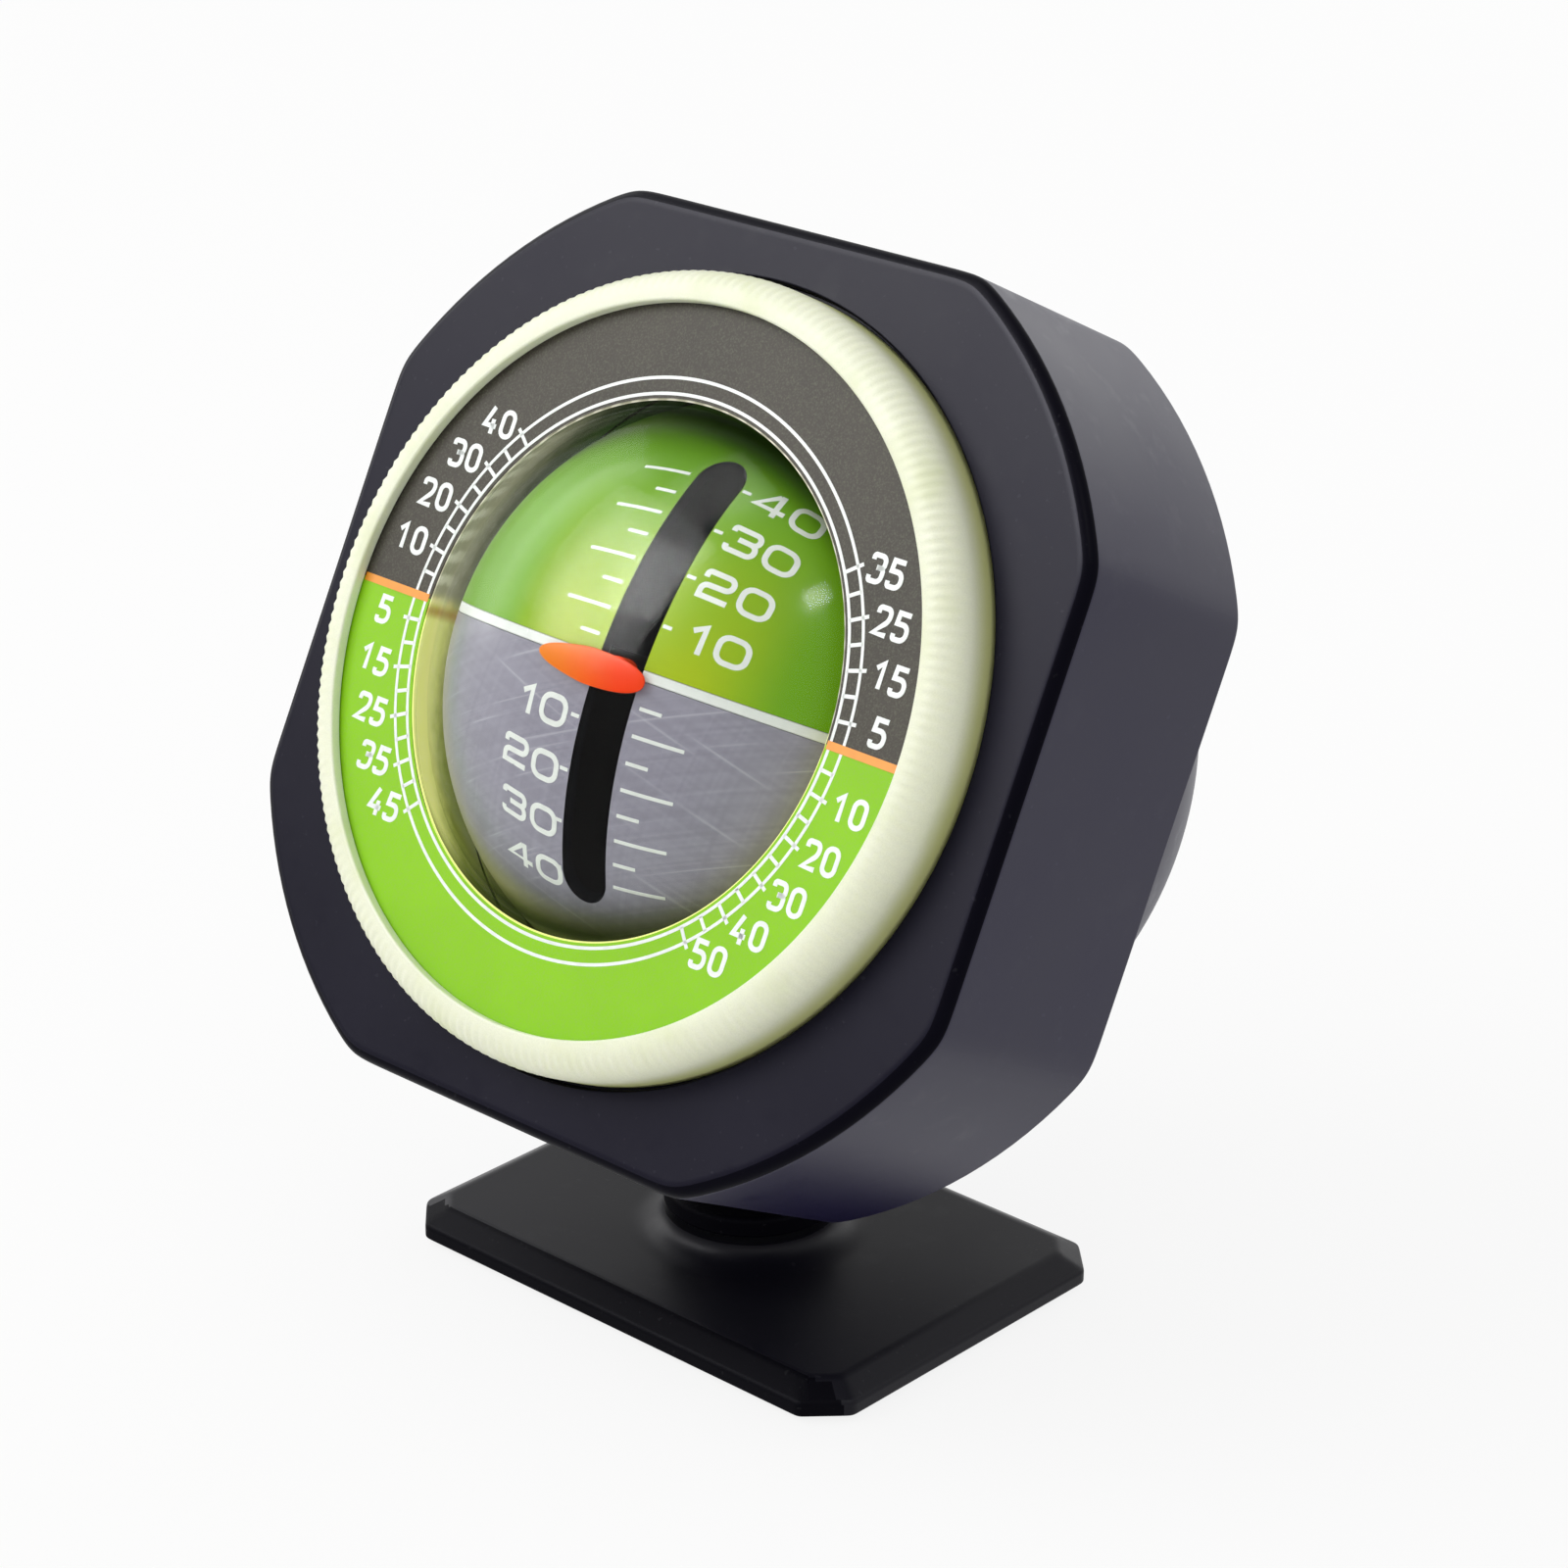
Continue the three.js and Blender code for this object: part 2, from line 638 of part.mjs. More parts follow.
// Foot: a bevelled plate with a flared pedestal, on an adhesive pad
function footOutline(inset) {
  const x = foot_half_width - inset;
  const y = foot_half_depth - inset;
  const cut = foot_corner_cut - inset / 2;
  const corners = [[x, y - cut], [x - cut, y], [cut - x, y], [-x, y - cut]];
  const back_corners = corners.map(([a, b]) => [-a, -b]);
  return new THREE.Shape([...corners, ...back_corners].map(([a, b]) => new THREE.Vector2(a, b)));
}

function raised(shape, bottom, top) {
  const geometry = new THREE.ExtrudeGeometry(shape, { depth: top - bottom, bevelEnabled: false });
  return geometry.translate(0, 0, bottom);
}

const swivel_head_bottom = pad_thickness + seat_gap;
const swivel_head_top = swivel_head_bottom + swivel_head_height;
const fork_bottom = pedestal_top + washer_thickness + 2 * seat_gap;
const fork_disc_top = fork_bottom + fork_disc_thickness;

function footPlate() {
  const bevel_height = foot_height - foot_rim - pad_thickness;
  const body = new THREE.ExtrudeGeometry(footOutline(0), {
    depth: foot_height - bevel_height,
    bevelThickness: bevel_height,
    bevelSize: foot_bevel,
    bevelOffset: -foot_bevel,
    bevelSegments: 1,
  });
  const below = box(
    [-foot_half_width, -foot_half_depth, -foot_height],
    [foot_half_width, foot_half_depth, pad_thickness],
  );
  const flare = pedestal_foot_radius - pedestal_top_radius;
  const rise = pedestal_top - foot_height;
  // the pedestal's side is a quarter of an ellipse, hollow outwards
  const side = Array.from({ length: arc_steps + 1 }, (_, k) => {
    const angle = (quarter_turn * k) / arc_steps;
    return [pedestal_foot_radius - flare * Math.sin(angle), pedestal_top - rise * Math.cos(angle)];
  });
  const pedestal = turned([[0, pad_thickness + foot_rim], [pedestal_foot_radius, pad_thickness + foot_rim],
    ...side, [0, pedestal_top]], small_sides * 2).rotateX(quarter_turn);
  const head_room = bar("z", 0, swivel_head_top + seat_gap, swivel_head_radius + fit_gap);
  const bolt_room = bar("z", 0, pedestal_top + cut_overrun, swivel_bolt_radius + fit_gap);
  return solidOf(body)
    .subtract(solidOf(below))
    .add(solidOf(pedestal))
    .subtract(solidOf(head_room))
    .subtract(solidOf(bolt_room));
}

function swivelScrew() {
  const cap = bar("z", swivel_head_bottom, swivel_head_top, swivel_head_radius);
  const shank = bar("z", swivel_head_top - seat_gap, fork_disc_top - 2 * seat_gap, swivel_bolt_radius);
  return solidOf(cap).add(solidOf(shank));
}

const fork_inner = tongue_width / 2 + fit_gap;
const fork_outer = fork_inner + fork_ear_thickness;

function swivelFork() {
  const disc = bar("z", fork_bottom, fork_disc_top, pedestal_top_radius, small_sides * 2);
  const bolt = bar("x", -fork_outer - cut_overrun, fork_outer + cut_overrun, hinge_bolt_radius + fit_gap);
  const ears = [[-fork_outer, -fork_inner], [fork_inner, fork_outer]].map(([from, to]) => {
    const web = box([from, -ear_radius, fork_bottom + seat_gap], [to, ear_radius, pivot_height]);
    return solidOf(web).add(solidOf(bar("x", from, to, ear_radius).translate(0, 0, pivot_height)));
  });
  const shank_room = bar("z", 0, fork_disc_top - seat_gap, swivel_bolt_radius + fit_gap);
  return joined([solidOf(disc), ...ears])
    .subtract(solidOf(shank_room))
    .subtract(solidOf(bolt.translate(0, 0, pivot_height)));
}

const bolt_head_start = fork_outer + seat_gap;
const bolt_end = bolt_head_start + hinge_head_height;

function hingeBolt() {
  const shank = bar("x", -bolt_end, bolt_head_start + seat_gap, hinge_bolt_radius);
  const cap = bar("x", bolt_head_start, bolt_end, hinge_head_radius);
  const slot = box(
    [bolt_end - screw_slot_depth, -hinge_head_radius - cut_overrun, -screw_slot_width / 2],
    [bolt_end + cut_overrun, hinge_head_radius + cut_overrun, screw_slot_width / 2],
  );
  return solidOf(shank).add(solidOf(cap)).subtract(solidOf(slot));
}

function hingeNut() {
  const nut = bar("x", -bolt_end, -bolt_head_start, hinge_head_radius, nut_sides);
  const bore = bar("x", -bolt_end - cut_overrun, 0, hinge_bolt_radius + fit_gap);
  return solidOf(nut).subtract(solidOf(bore));
}

addPiece(part, "foot_plate", footPlate(), foot_plastic);
addPiece(part, "adhesive_pad", solidOf(raised(footOutline(pad_margin), 0, pad_thickness)), foam);
addPiece(part, "swivel_screw", swivelScrew(), steel);
const washer = ring(
  swivel_bolt_radius + fit_gap,
  pedestal_top_radius - pad_margin,
  pedestal_top + seat_gap,
  fork_bottom - seat_gap,
  small_sides * 2,
);
addPiece(part, "friction_washer", solidOf(washer.rotateX(quarter_turn)), steel);
addPiece(part, "swivel_fork", swivelFork(), foot_plastic);
[["hinge_bolt", hingeBolt()], ["hinge_nut", hingeNut()]].forEach(([name, solid]) => {
  addPiece(part, name, solid, steel).position.z = pivot_height;
});

export default part;
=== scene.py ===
import json
import math

import bpy
import numpy as np
from bpy.props import FloatProperty, FloatVectorProperty, PointerProperty
from mathutils import Matrix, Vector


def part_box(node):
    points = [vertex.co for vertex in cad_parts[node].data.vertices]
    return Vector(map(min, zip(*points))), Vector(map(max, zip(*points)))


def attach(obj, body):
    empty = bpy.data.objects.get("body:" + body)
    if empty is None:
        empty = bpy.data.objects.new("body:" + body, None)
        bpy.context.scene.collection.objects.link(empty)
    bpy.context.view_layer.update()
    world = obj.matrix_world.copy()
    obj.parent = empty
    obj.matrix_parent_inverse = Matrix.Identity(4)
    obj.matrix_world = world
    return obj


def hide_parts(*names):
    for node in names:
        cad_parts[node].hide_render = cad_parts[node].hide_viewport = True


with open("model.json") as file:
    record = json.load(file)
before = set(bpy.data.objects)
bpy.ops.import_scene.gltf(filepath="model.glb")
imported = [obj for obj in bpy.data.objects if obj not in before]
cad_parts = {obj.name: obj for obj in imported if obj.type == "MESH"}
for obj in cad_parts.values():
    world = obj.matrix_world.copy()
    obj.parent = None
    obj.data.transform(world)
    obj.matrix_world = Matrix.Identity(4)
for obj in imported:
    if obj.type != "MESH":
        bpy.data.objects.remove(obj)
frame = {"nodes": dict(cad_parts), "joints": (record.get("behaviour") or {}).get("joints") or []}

bl_info = {
    "name": "Dash inclinometer",
    "version": (1, 0, 0),
    "blender": (4, 5, 0),
    "location": "View3D > Sidebar > Inclinometer",
    "description": "Dresses the frame of a dash inclinometer with its surfaces, prints and finishes",
    "category": "Add Mesh",
}

# Units and small helpers


def mm(value):
    """A length written in millimetres, in metres."""
    return value * 0.001


def srgb(red, green, blue):
    """A screen colour from 0 to 255, as the linear colour that a shader takes."""
    share = np.array([red, green, blue]) / 255
    linear = np.where(share <= 0.04045, share / 12.92, ((share + 0.055) / 1.055) ** 2.4)
    return (*linear.tolist(), 1.0)


def unit(vector):
    """A vector's direction, as a vector of length 1."""
    return np.asarray(vector, float) / np.linalg.norm(vector)


def length(name, description, default):
    """A property that holds a length."""
    return FloatProperty(
        name=name, description=description, default=default, unit="LENGTH", precision=5
    )


def angle(name, description, degrees):
    """A property that holds an angle, with its default given in degrees."""
    return FloatProperty(
        name=name, description=description, default=math.radians(degrees), subtype="ANGLE"
    )


def colour(name, description, default):
    """A property that holds a linear colour."""
    return FloatVectorProperty(
        name=name, description=description, default=default, subtype="COLOR", size=4, min=0, max=1
    )


# Places: the head's and the gimbal's own axes, from the frame's joints


class Place:
    """A local frame: a point (x, y, z) in it is origin + x right + y depth + z up."""

    def __init__(self, origin, right, depth, up):
        self.origin = np.asarray(origin, float)
        self.axes = np.array([right, depth, up], float)

    def __call__(self, points):
        """Local points in the part's frame."""
        return self.origin + np.asarray(points, float) @ self.axes

    def at(self, x, y, z):
        """The same axes with the origin moved to a local point."""
        return Place(self([x, y, z]), *self.axes)


JOINTS = {joint["name"]: joint for joint in frame["joints"]}
GIMBAL_CENTRE = np.array(JOINTS["ball_pitch"]["pos_m"])
HINGE = np.array(JOINTS["head_tilt"]["pos_m"])
PITCH_AXIS = unit(JOINTS["ball_pitch"]["axis"])
HEAD_RIGHT = unit(JOINTS["head_tilt"]["axis"])
HEAD_UP = unit(np.cross(PITCH_AXIS, JOINTS["ball_roll"]["axis"]))
HEAD_DEPTH = np.cross(HEAD_UP, HEAD_RIGHT)
CAPSULE_DEPTH = mm(13.5)

PART = Place([0, 0, 0], [1, 0, 0], [0, 1, 0], [0, 0, 1])
HEAD = Place(GIMBAL_CENTRE - CAPSULE_DEPTH * HEAD_DEPTH, HEAD_RIGHT, HEAD_DEPTH, HEAD_UP)
GIMBAL = Place(GIMBAL_CENTRE, PITCH_AXIS, np.cross(HEAD_UP, PITCH_AXIS), HEAD_UP)
# How far the ball stands turned against its cradle
FLOAT_TURN = math.radians(0.7)
BALL = Place(
    GIMBAL_CENTRE,
    math.cos(FLOAT_TURN) * GIMBAL.axes[0] - math.sin(FLOAT_TURN) * GIMBAL.axes[2],
    GIMBAL.axes[1],
    math.sin(FLOAT_TURN) * GIMBAL.axes[0] + math.cos(FLOAT_TURN) * GIMBAL.axes[2],
)
HEAD_LEAN = math.atan2(-HEAD_DEPTH[2], HEAD_DEPTH[1])
GIMBAL_TURN = math.atan2(PITCH_AXIS @ HEAD_DEPTH, PITCH_AXIS @ HEAD_RIGHT)

CASE_LOW, CASE_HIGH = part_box("case_front")
FOOT_LOW, FOOT_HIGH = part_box("foot_plate")


# Sizes and colours that a user would change


class CaseSettings(bpy.types.PropertyGroup):
    half_flat: length(
        "Half flat", "From the head's axis to a flat side", (CASE_HIGH[0] - CASE_LOW[0]) / 2
    )
    corner_reach: length("Corner reach", "How far the case's circle passes the flats", mm(4.2))
    corner_blend: length("Corner blend", "Softness where a flat meets the circle", mm(0.3))
    depth: length("Depth", "From the face to the back edge", mm(21.4))
    front_round: length("Front round", "Radius of the edge round the face", mm(1.2))
    wall: length("Wall", "Wall of the case", mm(2))
    face_thickness: length("Face thickness", "Thickness of the face", mm(3))
    cover_inset: length("Cover inset", "How far the rear cover lies inside the outline", mm(2.3))
    cover_thickness: length("Cover thickness", "Thickness of the rear cover", mm(2.4))
    dome_radius: length("Dome radius", "Radius of the dome on the rear cover", mm(32.3))
    dome_wall: length("Dome wall", "Wall of the rear dome", mm(2.2))
    screw_circle: length("Screw circle", "Radius on which the case screws sit", mm(36))
    screw_head: length("Screw head", "Radius of a case screw's head", mm(2.2))
    plastic: colour("Plastic", "Colour of the case", srgb(14, 12, 28))
    # The sides' bluer copy of the case's plastic is a painted sheen
    side_plastic: colour("Side plastic", "Colour of the case's sides and back", srgb(16, 11, 44))


class DialSettings(bpy.types.PropertyGroup):
    glow_radius: length("Glow ring", "Outer radius of the glowing ring", mm(32.57))
    glow_width: length("Glow width", "Width of the glowing ring", mm(3.03))
    glow_height: length("Glow height", "How far the glowing ring stands out", mm(4.83))
    dial_depth: length("Dial depth", "From the face to the front of the dial, outwards", mm(3.73))
    dial_thickness: length("Dial thickness", "Thickness of the dial", mm(1))
    dial_radius: length("Dial radius", "Outer radius of the dial", mm(30.32))
    inner_circle: length("Inner circle", "Radius of the scale's inner line", mm(22.2))
    outer_circle: length("Outer circle", "Radius of the scale's outer line", mm(23.5))
    tick_end: length("Tick end", "Radius to which the numbered ticks reach", mm(24.05))
    line: length("Line", "Width of the scale's lines", mm(0.27))
    figure_height: length("Figure height", "Height of the dial's figures", mm(2.45))
    print_turn: angle("Print turn", "How far the printed dial sits turned", -0.6)
    glow: colour("Glow plastic", "Colour of the glowing ring", srgb(242, 245, 219))
    sky: colour("Upper print", "Colour of the dial's upper half", srgb(58, 54, 48))
    ground: colour("Lower print", "Colour of the dial's lower half", srgb(142, 206, 8))
    zero: colour("Zero line", "Colour of the dial's zero lines", srgb(236, 148, 24))
    white: colour("White print", "Colour of the scales and figures", srgb(240, 244, 241))


class BallSettings(bpy.types.PropertyGroup):
    radius: length("Radius", "Radius of the ball", mm(25.2))
    wall: length("Wall", "Wall of the ball's shells", mm(1.2))
    slot_half_width: length("Slot half width", "Half the width of the slot for the shaft", mm(2))
    slot_half_angle: angle("Slot half angle", "How far the slot reaches up and down", 46)
    horizon: length("Horizon", "Half the width of the white horizon line", mm(0.45))
    horizon_rise: length("Horizon rise", "How far the line's middle lies above the axle", mm(0.28))
    lens_radius: length("Lens radius", "Outer radius of the clear capsule", mm(27.5))
    lens_wall: length("Lens wall", "Wall of the clear capsule", mm(1))
    pointer_air: length("Pointer air", "Between the pointer and the ball", mm(0.35))
    pointer_length: length("Pointer length", "Length of the orange pointer", mm(10))
    pointer_height: length("Pointer height", "Height of the orange pointer", mm(2.9))
    pointer_shift: length("Pointer shift", "From the stem to the pointer's middle", mm(2.3))
    pointer_drop: length("Pointer drop", "How far the pointer's middle lies under the stem", mm(0.35))
    sky: colour("Upper shell", "Colour of the ball's upper shell", srgb(114, 172, 14))
    ground: colour("Lower shell", "Colour of the ball's lower shell", srgb(150, 147, 163))
    pointer: colour("Pointer", "Colour of the pointer", srgb(255, 62, 0))
    # The pointer's paler end is a painted highlight
    pointer_pale: colour("Pale pointer", "Colour of the pointer's pale end", srgb(246, 134, 22))


class FootSettings(bpy.types.PropertyGroup):
    half_width: length(
        "Half width", "Half the width of the foot", (FOOT_HIGH[0] - FOOT_LOW[0]) / 2
    )
    half_depth: length(
        "Half depth", "Half the depth of the foot", (FOOT_HIGH[1] - FOOT_LOW[1]) / 2
    )
    corner_cut: length("Corner cut", "How much the foot's corners are cut", mm(3.2))
    pad: length("Pad", "Thickness of the adhesive pad", mm(0.6))
    pad_margin: length("Pad margin", "From the foot's edge to the pad's", mm(1.6))
    rim: length("Rim", "Height of the foot's upright rim", mm(1.3))
    height: length("Height", "Height of the foot's flat top", mm(3.2))
    bevel: length("Bevel", "Width of the foot's bevel", mm(2.1))
    pedestal_foot: length("Pedestal foot", "Radius of the pedestal at the foot", mm(10.5))
    pedestal_top: length("Pedestal top", "Radius of the pedestal at its top", mm(7.5))
    pedestal_height: length("Pedestal height", "Height of the pedestal's top", mm(5))
    plastic: colour("Plastic", "Colour of the foot", srgb(12, 11, 20))


class StageSettings(bpy.types.PropertyGroup):
    azimuth: angle("Azimuth", "Camera's turn round the object", 42.192)
    elevation: angle("Elevation", "Camera's height over the level", 23.014)
    roll: angle("Roll", "Camera's roll", 0.41)
    distance: length("Distance", "From the camera to its target", mm(368.83))
    focal_length: FloatProperty(
        name="Focal length", description="Camera's lens in millimetres", default=100.34
    )
    floor: colour("Floor", "Colour of the floor", srgb(244, 244, 243))


SETTINGS = {
    "inclinometer_case": CaseSettings,
    "inclinometer_dial": DialSettings,
    "inclinometer_ball": BallSettings,
    "inclinometer_foot": FootSettings,
    "inclinometer_stage": StageSettings,
}

# Surfaces: points on a grid, with the quads between them


def grid_quads(rows, columns, closed_rows, closed_columns):
    """The quads between neighbouring points of a grid that is numbered row by row."""
    row = np.arange(rows if closed_rows else rows - 1)[:, None]
    column = np.arange(columns if closed_columns else columns - 1)[None, :]
    next_row = (row + 1) % rows * columns
    next_column = (column + 1) % columns
    corners = (row * columns + column, row * columns + next_column,
               next_row + next_column, next_row + column)
    return np.stack(np.broadcast_arrays(*corners), axis=-1).reshape(-1, 4)


def facing_out(points, quads):
    """Turns the quads round if the volume that they sweep about the origin is negative."""
    a, b, c, d = (points[quads[:, k]] for k in range(4))
    swept = np.einsum("ij,ij->i", a, np.cross(b, c)) + np.einsum("ij,ij->i", a, np.cross(c, d))
    return quads if swept.sum() > 0 else quads[:, ::-1]


def surface(points, closed_rows=False, closed_columns=True):
    """A grid of points, shaped (rows, columns, 3), as a list of points and quads facing out."""
    rows, columns = points.shape[:2]
    flat = points.reshape(-1, 3)
    return flat, facing_out(flat, grid_quads(rows, columns, closed_rows, closed_columns))


def together(surfaces):
    """Several surfaces as one."""
    starts = np.cumsum([0] + [len(points) for points, _ in surfaces[:-1]])
    points = np.concatenate([points for points, _ in surfaces])
    return points, np.concatenate([quads + start for start, (_, quads) in zip(starts, surfaces)])


def placed(place, shape):
    """A shape moved into a place. A place that mirrors it has its quads turned round, to face out."""
    points, quads = shape
    return place(points), quads if np.linalg.det(place.axes) > 0 else quads[:, ::-1]


# Points in one cell of this size are one point, and the offset, an odd share of a cell, keeps round
# coordinates away from the cells' borders
WELD = 1e-7
WELD_OFFSET = 0.3137


def welded(points, quads):
    """Points that lie together become one, which closes poles and seams."""
    cell = np.round(points / WELD + WELD_OFFSET).astype(np.int64)
    _, first, back = np.unique(cell, axis=0, return_index=True, return_inverse=True)
    return points[first], back.reshape(-1)[quads]


def mesh_of(name, points, quads):
    """A mesh from quads, of which those with two corners in one point become triangles."""
    points, quads = welded(points, quads)
    kept = quads != np.roll(quads, 1, axis=1)
    real = kept.sum(axis=1) > 2
    sizes = kept.sum(axis=1)[real]
    corners = quads[real][kept[real]]
    mesh = bpy.data.meshes.new(name)
    mesh.vertices.add(len(points))
    mesh.vertices.foreach_set("co", points.astype(np.float32).ravel())
    mesh.loops.add(len(corners))
    mesh.loops.foreach_set("vertex_index", corners.astype(np.int32))
    mesh.polygons.add(len(sizes))
    starts = np.concatenate([[0], np.cumsum(sizes)[:-1]])
    mesh.polygons.foreach_set("loop_start", starts.astype(np.int32))
    mesh.update(calc_edges=True)
    mesh.validate()
    return mesh


SHARP = math.radians(32)


def smooth(mesh, sharp=SHARP):
    """Smooth shading, apart from edges that turn by more than an angle."""
    mesh.polygons.foreach_set("use_smooth", np.ones(len(mesh.polygons), bool))
    mesh.set_sharp_from_angle(angle=sharp)


def make_piece(name, shape, body, finishes, nodes=(), sharp=SHARP):
    """A shape in the part's frame becomes a piece that rides on a body and stands for its nodes."""
    mesh = mesh_of(name, *shape)
    smooth(mesh, sharp)
    piece = bpy.data.objects.new(name, mesh)
    bpy.context.scene.collection.objects.link(piece)
    for finish in finishes if isinstance(finishes, (list, tuple)) else [finishes]:
        mesh.materials.append(finish)
    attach(piece, body)
    if nodes:
        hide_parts(*nodes)
    return piece


def of_faces(mesh, what):
    """The normals or the centers of a mesh's faces, as rows of three numbers."""
    values = np.empty(3 * len(mesh.polygons), np.float32)
    mesh.polygons.foreach_get(what, values)
    return values.reshape(-1, 3)


def finish_facing(mesh, direction, steps):
    """Gives each face a finish by how much it looks in a direction: from each step's share on, the
    step's finish."""
    facing = of_faces(mesh, "normal") @ direction
    chosen = np.zeros(len(facing), np.int32)
    for share, index in steps:
        chosen[facing > share] = index
    mesh.polygons.foreach_set("material_index", chosen)


def sharpen_border(mesh):
    """Marks the edges that only one face has as sharp, so that a wall's rim keeps its own shading."""
    used = np.empty(len(mesh.loops), np.int32)
    mesh.loops.foreach_get("edge_index", used)
    border = np.bincount(used, minlength=len(mesh.edges)) == 1
    mesh.edges.foreach_set("use_edge_sharp", border)


def dress(finish, *names):
    """Gives CAD nodes a finish."""
    for name in names:
        mesh = frame["nodes"][name].data
        mesh.materials.clear()
        mesh.materials.append(finish)


# The most of an edge that one arc takes up, and how far past an arc the point that guards its flat lies
ARC_SHARE = 0.46
GUARD_SHARE = 1.08


def softened(corners, trims, steps=6, closed=False):
    """An outline whose corners are round: each arc starts and ends a trim away from its corner.

    The arc is the rational curve ((1-s)^2 A + 2 s (1-s) w P + s^2 B) over its weights, with w the
    cosine of half the turn, which is a true arc. A point just outside each end keeps flats flat.
    """
    corners = np.asarray(corners, float)
    count = len(corners)
    trims = np.broadcast_to(trims, count)
    pieces = []
    for k in range(count):
        here = corners[k]
        if trims[k] == 0 or (not closed and k in (0, count - 1)):
            pieces.append(here[None])
            continue
        back, ahead = corners[k - 1] - here, corners[(k + 1) % count] - here
        trim = min(trims[k], ARC_SHARE * np.linalg.norm(back), ARC_SHARE * np.linalg.norm(ahead))
        back, ahead = unit(back), unit(ahead)
        weight = math.sqrt(max(0.0, (1 - back @ ahead) / 2))
        s = np.linspace(0, 1, steps + 1)[:, None]
        parts = ((1 - s) ** 2, 2 * s * (1 - s) * weight, s**2)
        ends = (here + trim * back, here, here + trim * ahead)
        arc = sum(part * end for part, end in zip(parts, ends)) / sum(parts)
        guards = [(here + GUARD_SHARE * trim * side)[None] for side in (back, ahead)]
        pieces += [guards[0], arc, guards[1]]
    return np.concatenate(pieces)


def full_turn(sides):
    """The angles of a full turn's equal steps."""
    return np.arange(sides) * (2 * math.pi / sides)


def loft(radii, depths, angles, closed_rows=True):
    """Loops round the depth axis: point (r cos a, depth, r sin a), with r given by row and angle."""
    radii = np.asarray(radii, float)
    depths = np.broadcast_to(np.asarray(depths, float).reshape(len(radii), -1), radii.shape)
    points = np.stack([radii * np.cos(angles), depths, radii * np.sin(angles)], axis=-1)
    return surface(points, closed_rows)


def turned(profile, sides, closed_rows=True):
    """A profile of (radius, depth) turned about the depth axis."""
    profile = np.asarray(profile, float)
    angles = full_turn(sides)
    return loft(profile[:, :1] + 0 * angles, profile[:, 1], angles, closed_rows)


def dense_angles(corners, spread, each, step):
    """Even steps round a full turn, with more of them within a spread of each corner, in degrees."""
    even = np.arange(0, 360, step)
    near = np.asarray(corners)[:, None] + np.linspace(-spread, spread, 2 * each + 1)
    return np.radians(np.unique(np.round(np.concatenate([even, near.ravel() % 360]), 4)))


def least(values, blend):
    """The least of several values, with the change from one to the next blended: minus the blend
    times the logarithm of the sum of exp(-value / blend)."""
    values = np.asarray(values)
    lowest = values.min(axis=0)
    return lowest - blend * np.log(np.exp((lowest - values) / blend).sum(axis=0))


# Keeps an edge that a direction never meets at a finite distance
LEAST_COSINE = 0.02


def half_planes(angles, distances, directions, blend):
    """The radius of the outline that lies inside several straight edges, each at its distance from
    the centre in its direction: the least of distance over the cosine of the angle between."""
    cosines = np.cos(angles[None, :] - np.asarray(directions)[:, None])
    far = np.asarray(distances)[:, None] / np.maximum(cosines, LEAST_COSINE)
    return least(far, blend)


# Strokes: figures and lines as thin ribbons

PRINT_LIFT = mm(0.03)
PRINT_SINK = mm(0.05)
# The cosine of half a turn at which a ribbon's corner grows no longer
LONGEST_MITRE = 0.6


def ribbon(path, width, lift=PRINT_LIFT, closed=False):
    """A band of a width along a path of (x, z), from a little under the surface to a lift over it.

    Each point moves half the width to both sides, along the mean of the normals beside it over
    the cosine of half the turn. Points are (x, lift, z).
    """
    path = np.asarray(path, float)
    if closed:
        along = np.roll(path, -1, axis=0) - path
        before = np.roll(along, 1, axis=0)
    else:
        steps = np.diff(path, axis=0)
        along = np.concatenate([steps, steps[-1:]])
        before = np.concatenate([steps[:1], steps])
    along = along / np.linalg.norm(along, axis=1, keepdims=True)
    before = before / np.linalg.norm(before, axis=1, keepdims=True)
    mean = along + before
    mean = mean / np.linalg.norm(mean, axis=1, keepdims=True)
    across = np.stack([-mean[:, 1], mean[:, 0]], axis=1)
    across = across / np.maximum((mean * along).sum(axis=1, keepdims=True), LONGEST_MITRE) * (width / 2)
    low, high = np.full(len(path), -PRINT_SINK), np.full(len(path), lift)
    left, right = path - across, path + across
    sides = ((left, low), (right, low), (right, high), (left, high))
    points = np.stack([np.stack([side[:, 0], rise, side[:, 1]], axis=1) for side, rise in sides], axis=1)
    flat, quads = points.reshape(-1, 3), grid_quads(len(path), 4, closed, True)
    if not closed:
        last = 4 * (len(path) - 1)
        quads = np.concatenate([quads, [[3, 2, 1, 0]], [[last, last + 1, last + 2, last + 3]]])
    return flat, quads


# Each stroke of a figure: corners (x, z, how round) in shares of its box, and whether it closes
NARROW_FIGURES = {
    "0": [([(0, 0, 1), (1, 0, 1), (1, 1, 1), (0, 1, 1)], True)],
    "1": [([(0.1, 0.74, 0), (0.62, 1, 0), (0.62, 0, 0)], False)],
    "2": [([(0, 0.76, 0), (0, 1, 1), (1, 1, 1), (1, 0.56, 0.7), (0, 0, 0), (1.04, 0, 0)], False)],
    "3": [
        ([(0, 0.8, 0), (0, 1, 1), (1, 1, 1), (1, 0.54, 1), (0.42, 0.54, 0)], False),
        ([(0.5, 0.54, 0), (1, 0.54, 1), (1, 0, 1), (0, 0, 1), (0, 0.2, 0)], False),
    ],
    "4": [
        ([(0.56, 1.04, 0), (0, 0.27, 0), (1.08, 0.27, 0)], False),
        ([(0.74, 0.55, 0), (0.74, -0.06, 0)], False),
    ],
    "5": [
        ([(1, 1, 0), (0.08, 1, 0), (0.05, 0.6, 0), (1, 0.6, 1), (1, 0, 1), (0, 0, 1), (0, 0.2, 0)], False)
    ],
}
